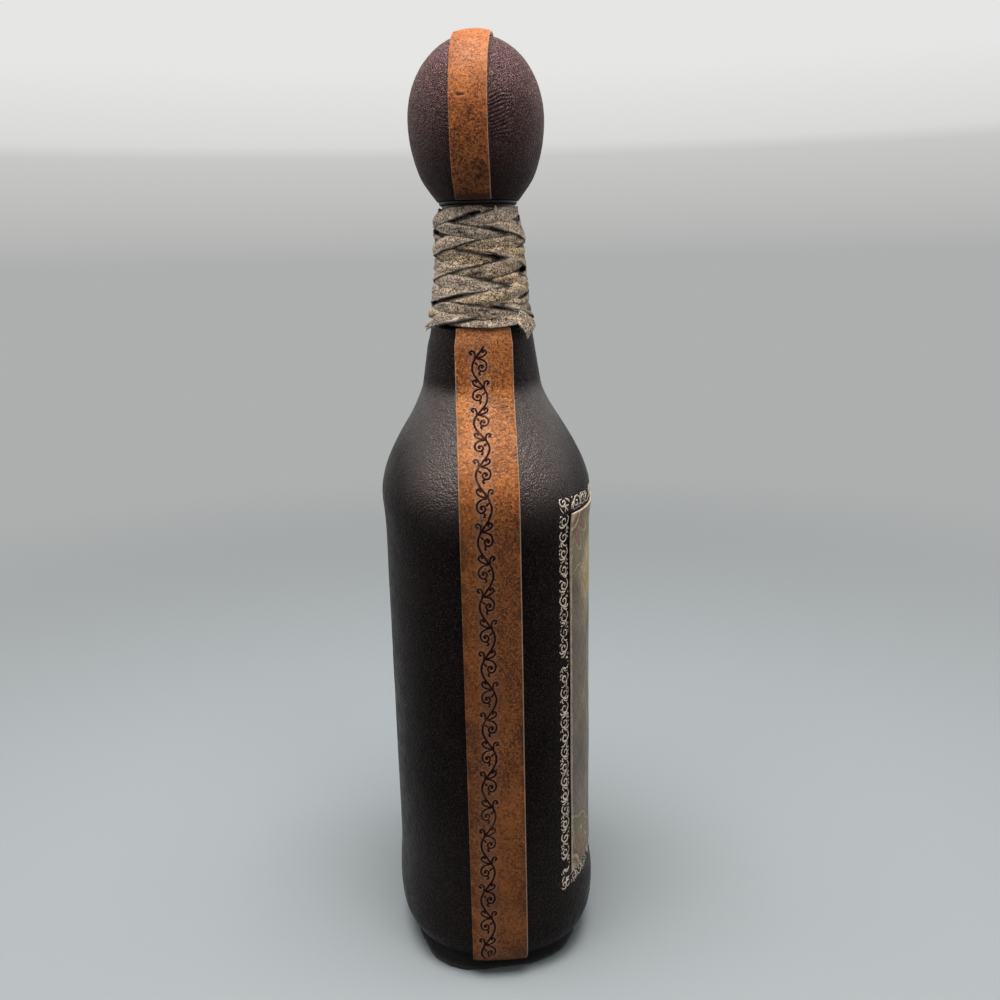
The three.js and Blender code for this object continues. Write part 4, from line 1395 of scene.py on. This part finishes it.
def loose_end(path, widths, seed):
    """Free end of a lace, along points of angle in degrees, height and distance out from the glass."""
    wave = Noise(seed)
    path = spline(path, 14)
    widths = np.interp(np.linspace(0, 1, len(path)), np.linspace(0, 1, len(widths)), widths)
    angle = np.radians(path[:, 0])
    middle = polar(plait_radius(angle, path[:, 1]) + path[:, 2], angle, path[:, 1])
    out = polar(1, angle, 0)
    along = np.gradient(middle, axis=0)
    across = unit(np.cross(out, along))
    heading = unit(along)
    torn = 0.55 * smooth(0.8, 1, np.linspace(0, 1, len(path)))
    rings = []
    for share, height in LACE_SECTION:
        ragged = 1 + 0.14 * wave.at(middle + 20 * np.sign(share), 1.8, 2)
        spot = middle + across * (widths / 2 * share * ragged)[:, None]
        spot = spot + heading * (torn * wave.at(spot + 70, 1.6, 2))[:, None]
        lift_out = 0.33 * height * (1 - 0.3 * share ** 4) * np.minimum(1, widths / 2)
        rings.append(spot + out * (lift_out + 0.2 * wave.at(spot, 2.0, 2))[:, None])
    rings = np.stack(rings, axis=1)
    pale = [smooth(0.6, 0.85, abs(share)) * smooth(0.2, 0.5, height) for share, height in LACE_SECTION]
    # the sides are darkened: painted shade
    dark = [0.95 * smooth(0.8, 0.44, abs(height)) for _, height in LACE_SECTION]
    flat = np.zeros(rings.shape[:2])
    return tube(rings), {"edge": flat + pale, "stain_and_shade": flat + dark, "tint": flat + 0.15}


# the path of each, and its width along it
LOOSE_ENDS = {
    "lace_tail_1": (
        [(218, 234.8, 3.0), (223, 232.6, 4.0), (228, 230.2, 4.3), (232.5, 228.0, 3.8)], (5.2, 6.4, 7.0, 7.6),
    ),
    "lace_tail_2": (
        [(197.5, 267.2, 2.6), (199, 268.6, 2.3), (200.5, 269.7, 1.7), (201.5, 270.5, 1.0)],
        (0.7, 1.3, 1.4, 1.0),
    ),
    "lace_tuft_1": (
        [(113, 232.8, 2.4), (105, 231.6, 3.3), (98, 230.8, 3.8), (93, 230.4, 4.3)], (1.6, 1.5, 0.9, 0.2),
    ),
    "lace_tuft_2": (
        [(112, 231.4, 2.6), (103, 230.4, 3.4), (96, 229.4, 3.7), (92, 228.7, 3.9)], (1.5, 1.3, 0.8, 0.2),
    ),
}
for number, (name, (path, widths)) in enumerate(LOOSE_ENDS.items()):
    shape, values = loose_end(path, widths, 200 + number)
    piece(name, shape, suede, "bottle", (), values, crisp=75)


# Stopper: a ball dressed in two pieces of leather under a tan band

def ball(latitude, y, distance):
    """Point out from the ball's core, in the stopper's own frame."""
    axis = np.where((latitude < 0) | (latitude > PI), BALL_LOWER, BALL_CROWN)
    share = np.sqrt(1 - (y / BALL_RADIUS) ** 2)
    x = BALL_RADIUS * share * np.cos(latitude)
    z = axis * share * np.sin(latitude)
    normal = unit(stacked(x / BALL_RADIUS ** 2, y / BALL_RADIUS ** 2, z / axis ** 2))
    return stacked(x, y, z) + normal * np.asarray(distance)[..., None]


def tucked_in(points):
    """Drawn together a little at the ball's foot."""
    share = 1 - 0.055 * smooth(-18, -COVER_DROP, points[..., 2])
    return points * stacked(share, share, 1)


def lowest_latitude(y, distance):
    low = np.full(np.shape(y), -PI / 2)
    high = np.zeros(np.shape(y))
    for _ in range(40):
        middle = (low + high) / 2
        under = ball(middle, y, np.full(np.shape(y), distance))[..., 2] < -COVER_DROP
        low = np.where(under, middle, low)
        high = np.where(under, high, middle)
    return high


def seat(points):
    """From the stopper's own frame to the part's."""
    c, s = math.cos(STOPPER_TURN), math.sin(STOPPER_TURN)
    x, y, z = np.moveaxis(points, -1, 0)
    return stacked(x * c - y * s, x * s + y * c, z + BALL_Z)


def gore_shape(side):
    highest = math.acos(CROWN_HOLE / BALL_RADIUS)
    start = 0 if side > 0 else -PI

    def layer(distance, columns):
        lowest = float(lowest_latitude(np.zeros(1), distance)[0])
        latitude = np.linspace(lowest, highest, 400)
        meridian = ball(latitude, np.zeros_like(latitude), np.full_like(latitude, distance))
        seam = LEATHER_IN / 2 / meridian[:, 0]
        angle = start + lerp(seam[:, None], PI - seam[:, None], np.linspace(0, 1, columns))
        return polar(meridian[:, :1], angle, meridian[:, 2:])

    outer = layer(GORE_OUT, 190)
    inner = layer(GORE_IN, 25)
    _, y, z = np.moveaxis(outer, -1, 0)
    aside = np.abs(y)
    half_band = BAND_WIDTH / 2
    bare = smooth(half_band - 0.4, half_band + 0.8, aside) * smooth(-COVER_DROP, -COVER_DROP + 1.5, z)
    # the leather was stretched over the ball, and small ripples run out from the band
    bend = 2.2 * crease_noise.at(outer, 9, 2)
    ripple = np.sin(z * 5.0 - 1.6 * aside + 2.6 * bend)
    near = smooth(16, 9, aside) * smooth(-12, -6, z) * smooth(8, 4, z)
    near = near * smooth(-0.7, 0.1, crease_noise.at(outer, 9)) * np.where(y < 0, 1, 0.3)
    height = 0.2 * ripple * near + 0.04 * fine_noise.at(outer, 1.5, 2) + 0.12 * ground_noise.at(outer, 14)
    pressed = -0.25 * smooth(half_band + 1.6, half_band, aside)
    outer = outer + unit(outer) * ((height + pressed) * bare)[..., None]
    return skin(seat(tucked_in(outer)), seat(tucked_in(inner)))


for side, name, node in (
    (-1, "stopper_cover_front", "stopper_front_leather"),
    (1, "stopper_cover_rear", "stopper_rear_leather"),
):
    piece(name, gore_shape(side), ball_leather, "stopper", [node])


def band_shape():
    scale = BALL_RADIUS / (BALL_RADIUS + BAND_OUT)
    across = edge_spaced(BAND_WIDTH, 0.3, (0, 0.06, 0.15, 0.28, 0.45)) - BAND_WIDTH / 2
    share = np.linspace(0, 1, 560)[:, None]

    def latitudes(y, distance):
        """Over the crown from the foot on one side to the foot on the other."""
        lowest = lowest_latitude(y, distance)
        return lerp(lowest, PI - lowest, share)

    y = across * scale
    latitude = latitudes(y, BAND_OUT)
    flat = ball(latitude, y, BAND_OUT)
    edge_gap = BAND_WIDTH / 2 - np.abs(across) + 0 * share
    x, _, z = np.moveaxis(flat, -1, 0)
    scar = np.exp(-((across - 2.4) / 1.3) ** 4) * np.exp(-((z - 4.7) / 0.38) ** 2) * (x < 0)
    nick = np.exp(-((across + 0.8) / 0.9) ** 4) * np.exp(-((z + 1.1) / 0.36) ** 2) * (x < 0)
    blot = np.exp(-((across + 3.1) / 1.9) ** 2 - ((z + 18.4) / 2.7) ** 2) * (x < 0)
    rough = smooth(-0.05, 0.3, fine_noise.at(flat, 1.5, 3))
    # fine level wrinkles below the middle
    line = crease_noise.creases(flat + 7, (3.4, 3.4, 0.8)) * smooth(6, 0, z) * smooth(-19, -9, z)
    depth = 0.05 * fine_noise.at(flat, 2.2, 2) - worn_down(edge_gap, 0.5)
    depth = depth - 0.3 * scar - 0.22 * nick - 0.12 * blot * rough - 0.06 * line
    outer = ball(latitude, y, BAND_OUT + depth)
    inner_y = np.linspace(-0.5, 0.5, 7) * BAND_WIDTH * scale
    inner = ball(latitudes(inner_y, BAND_IN), inner_y, BAND_IN)

    # colour: marks, smudges, painted shade in the wrinkles and towards the foot, and the cut edges
    smudge = smooth(0.0, 0.5, fine_noise.at(flat + 33, 1.7, 3)) * smooth(12, -8, z)
    stain_and_shade = 0.9 * scar + 0.85 * nick + blot * lerp(0.3, 1.1, rough)
    # the wrinkles and the foot are darkened with painted shade
    stain_and_shade = stain_and_shade + 0.5 * smooth(-5, -27, z) + 0.34 * smudge + 0.5 * line
    stain_and_shade = np.clip(stain_and_shade + 0.5 * smooth(-23, -COVER_DROP, z), 0, 0.95)
    light_edge = smooth(0.55, 0.12, edge_gap) * np.where(across < 0, 0.75, 0.3)

    def flipped(grid):
        """Rows run over the crown from right to left, so columns from +Y to -Y face out."""
        return grid[:, ::-1]

    values = {
        "ink": with_inner(0 * stain_and_shade, inner),
        "ground_tint_and_highlight": with_inner(0 * stain_and_shade, inner),
        "pepper": with_inner(flipped(0.22 + 0.45 * smooth(14, -14, z)), inner),
        "stain_and_shade": with_inner(flipped(stain_and_shade), inner),
        "edge": with_inner(flipped(light_edge), inner, 0.7),
    }
    return skin(flipped(seat(tucked_in(outer))), flipped(seat(tucked_in(inner)))), values


shape, values = band_shape()
piece("stopper_tan_band", shape, band_leather, "stopper", ["stopper_band"], values)


def washer_shape():
    """A round bead above the plait, on a shank that stands inside it."""
    bottom, top, shank, bead = -WASHER_DROP, -COVER_DROP + 0.4, 12.6, 0.95
    hole = TENON_RADIUS + FIT
    turn = np.linspace(-PI / 2, PI / 2, 17)
    rounded = stacked(shank + 0.05 + bead * np.cos(turn), top - bead + bead * np.sin(turn))
    inside = [(hole, top), (hole, bottom), (shank - 0.3, bottom)]
    outside_foot = [(shank, bottom + 0.3), (shank, rounded[0, 1])]
    profile = np.concatenate([inside, outside_foot, rounded])
    rings = polar(profile[:, 0], full_turn(ROUND_SIDES)[:, None], profile[:, 1])
    wobble = 1 + 0.006 * fine_noise.at(rings * (1, 1, 0), 7, 2)
    points, faces = hoop(rings * stacked(wobble, wobble, 1))
    return seat(points), faces


piece(
    "stopper_ring", washer_shape(), gloss_leather_material(), "stopper", ["stopper_washer"],
    crisp=40,
)


def cork_shape():
    top = LIP_Z - BALL_Z
    bottom = top - CORK_LENGTH
    hole = TENON_RADIUS + FIT
    floor = top - TENON_LENGTH - FIT
    side_z = np.linspace(bottom + CORK_CHAMFER, top, 40)
    side = stacked(lerp(CORK_FOOT_RADIUS, CORK_RADIUS, (side_z - bottom) / CORK_LENGTH), side_z)
    turn = np.linspace(0, PI / 2, 6)[:-1]
    foot_radius = CORK_FOOT_RADIUS - CORK_CHAMFER * (1 - np.sin(turn))
    foot = stacked(foot_radius, bottom + CORK_CHAMFER * (1 - np.cos(turn)))
    profile = np.concatenate([foot, side, [(hole, top), (hole, floor)]])
    angle = full_turn(ROUND_SIDES)
    rings = polar(profile[:, :1], angle, profile[:, 1:])
    pits = smooth(0.45, 0.8, fine_noise.at(rings, (1.6, 1.6, 2.6), 2)) * (profile[:, :1] > 6)
    points, faces = loft(rings - polar(0.35 * pits, angle, 0), (0, 0, bottom), (0, 0, floor))
    return seat(points), faces


piece("stopper_cork_plug", cork_shape(), cork_material(), "stopper", ["stopper_cork"])


def core_shape():
    low = LIP_Z - BALL_Z - TENON_LENGTH
    foot_radius, foot_top, foot_bottom = 11.2, -21, -COVER_DROP + 0.42
    latitude = np.linspace(math.asin(foot_top / BALL_LOWER), PI / 2 - 0.03, 60)
    outline = ball(latitude, 0, 0)[:, [0, 2]]
    tenon = [(TENON_RADIUS, low), (TENON_RADIUS, foot_bottom)]
    foot = [(foot_radius, foot_bottom), (foot_radius, foot_top)]
    profile = np.concatenate([tenon, foot, outline])
    rings = polar(profile[:, :1], full_turn(ROUND_SIDES), profile[:, 1:])
    points, faces = loft(rings, (0, 0, low), (0, 0, BALL_CROWN))
    return seat(points), faces


piece("stopper_wood_core", core_shape(), wood_material(), "stopper", ["stopper_core"])


# Floor, light and camera

HORIZON = (0.42, 0.43, 0.43)
FLOOR_COLOUR = (0.3, 0.325, 0.34)
# the floor fades into the background between these distances in millimetres
FLOOR_FADE = (240, 850)
# radii in metres
FLOOR_RINGS = (0.15, 0.4, 0.9, 2, 6, 20)


def floor_material():
    made = Surface("pale_floor", Base_Color=FLOOR_COLOUR, Roughness=0.75, Specular_IOR_Level=0.2)
    far = made.node("VectorMath", {0: made.place}, operation="LENGTH").outputs["Value"]
    glow = made.node("Emission", {"Color": HORIZON}).outputs[0]
    fade = made.range(far, *FLOOR_FADE)
    mixed = made.node("MixShader", {0: fade, 1: made.shader.outputs[0], 2: glow}).outputs[0]
    made.put(made.tree.nodes["Material Output"].inputs["Surface"], mixed)
    return made.material


def add_floor():
    angle = full_turn(ROUND_SIDES)
    rings = np.concatenate([polar(radius, angle, 0) for radius in FLOOR_RINGS])
    faces = grid_faces(len(FLOOR_RINGS), ROUND_SIDES, closed=True).tolist()
    faces += [(len(rings), (i + 1) % ROUND_SIDES, i) for i in range(ROUND_SIDES)]
    mesh = bpy.data.meshes.new("floor")
    mesh.from_pydata(rings.tolist() + [(0, 0, 0)], [], faces)
    mesh.flip_normals()
    mesh.materials.append(floor_material())
    floor = add_object("floor", mesh)


add_floor()


def light(name, place, target, size, power, colour=(1, 1, 1)):
    data = bpy.data.lights.new(name, "AREA")
    data.shape = "RECTANGLE"
    data.size, data.size_y = size
    data.energy = power
    data.color = colour
    lamp = add_object(name, data)
    lamp.location = place
    lamp.rotation_euler = (Vector(target) - Vector(place)).to_track_quat("-Z", "Y").to_euler()


light("top_light", (-0.12, 0.02, 0.88), (0, 0, 0.1), (0.6, 0.42), 12.0, (1, 0.98, 0.95))
light("left_light", (0.3, 0.95, 0.45), (0, 0, 0.17), (1.2, 1.0), 3.6)
light("right_light", (0.3, -0.95, 0.45), (0, 0, 0.17), (1.2, 1.0), 3.6)
light("near_light", (-1.5, 0.1, 0.9), (0, 0, 0.15), (2.4, 1.8), 3.4)


def studio_world():
    """Soft light from all around, and a backdrop that is seen, also in glass and gloss."""
    world = bpy.data.worlds.new("studio")
    bpy.context.scene.world = world
    world.use_nodes = True
    made = Nodes(world.node_tree)
    around = made.tree.nodes["Background"]
    made.put(around.inputs["Color"], (0.5, 0.51, 0.52))
    made.put(around.inputs["Strength"], 0.25)
    direction = made.node("TexCoord").outputs["Generated"]
    sky = made.node("ValToRGB", {0: made.node("SeparateXYZ", {0: direction}).outputs["Z"]})
    ramp = sky.color_ramp.elements
    ramp[0].position = 0.0
    ramp[0].color = (*HORIZON, 1)
    ramp[1].position = 0.17
    ramp[1].color = (0.79, 0.79, 0.775, 1)
    for height, shade in ((0.03, 0.48), (0.094, 0.575), (0.106, 0.69)):
        ramp.new(height).color = (shade, shade, shade * 0.985, 1)
    seen = made.node("Background", {"Color": sky.outputs[0]})
    rays = made.node("LightPath").outputs
    sees = made.math("MAXIMUM", rays["Is Camera Ray"], rays["Is Transmission Ray"])
    sees = made.math("MAXIMUM", sees, rays["Is Glossy Ray"])
    chosen = made.node("MixShader", {0: sees, 1: around.outputs[0], 2: seen.outputs[0]}).outputs[0]
    made.put(made.tree.nodes["World Output"].inputs["Surface"], chosen)


studio_world()

# The photograph's camera, fitted to the object's outline: millimetres, degrees and pixels
CAMERA_PITCH = 13.752
CAMERA_ROLL = -1.267
CAMERA_HEADING = -90 - 3.745
CAMERA_BACK = 357.711
CAMERA_RIGHT = 5.371
CAMERA_HEIGHT = 253.319
FOCAL_LENGTH = 985.54
IMAGE_WIDTH = 1000
SENSOR_WIDTH = 36


def camera_matrix():
    pitch, roll, heading = (math.radians(a) for a in (CAMERA_PITCH, CAMERA_ROLL, CAMERA_HEADING))
    back = Vector((math.sin(heading), -math.cos(heading), 0))
    right = Vector((math.cos(heading), math.sin(heading), 0))
    height = Vector((0, 0, 1))
    place = back * CAMERA_BACK + right * CAMERA_RIGHT + height * CAMERA_HEIGHT
    forward = -back * math.cos(pitch) - height * math.sin(pitch)
    up = -back * math.sin(pitch) + height * math.cos(pitch)
    turned_right = right * math.cos(roll) + up * math.sin(roll)
    turned_up = -right * math.sin(roll) + up * math.cos(roll)
    turn = Matrix((turned_right, turned_up, -forward)).transposed()
    return Matrix.Translation(place * MM) @ turn.to_4x4()


camera_data = bpy.data.cameras.new("camera")
camera_data.sensor_width = SENSOR_WIDTH
camera_data.lens = FOCAL_LENGTH * SENSOR_WIDTH / IMAGE_WIDTH
camera_data.clip_start = 0.01
camera = add_object("camera", camera_data)
camera.matrix_world = camera_matrix()
bpy.context.scene.camera = camera
bpy.context.scene.view_settings.view_transform = "Standard"
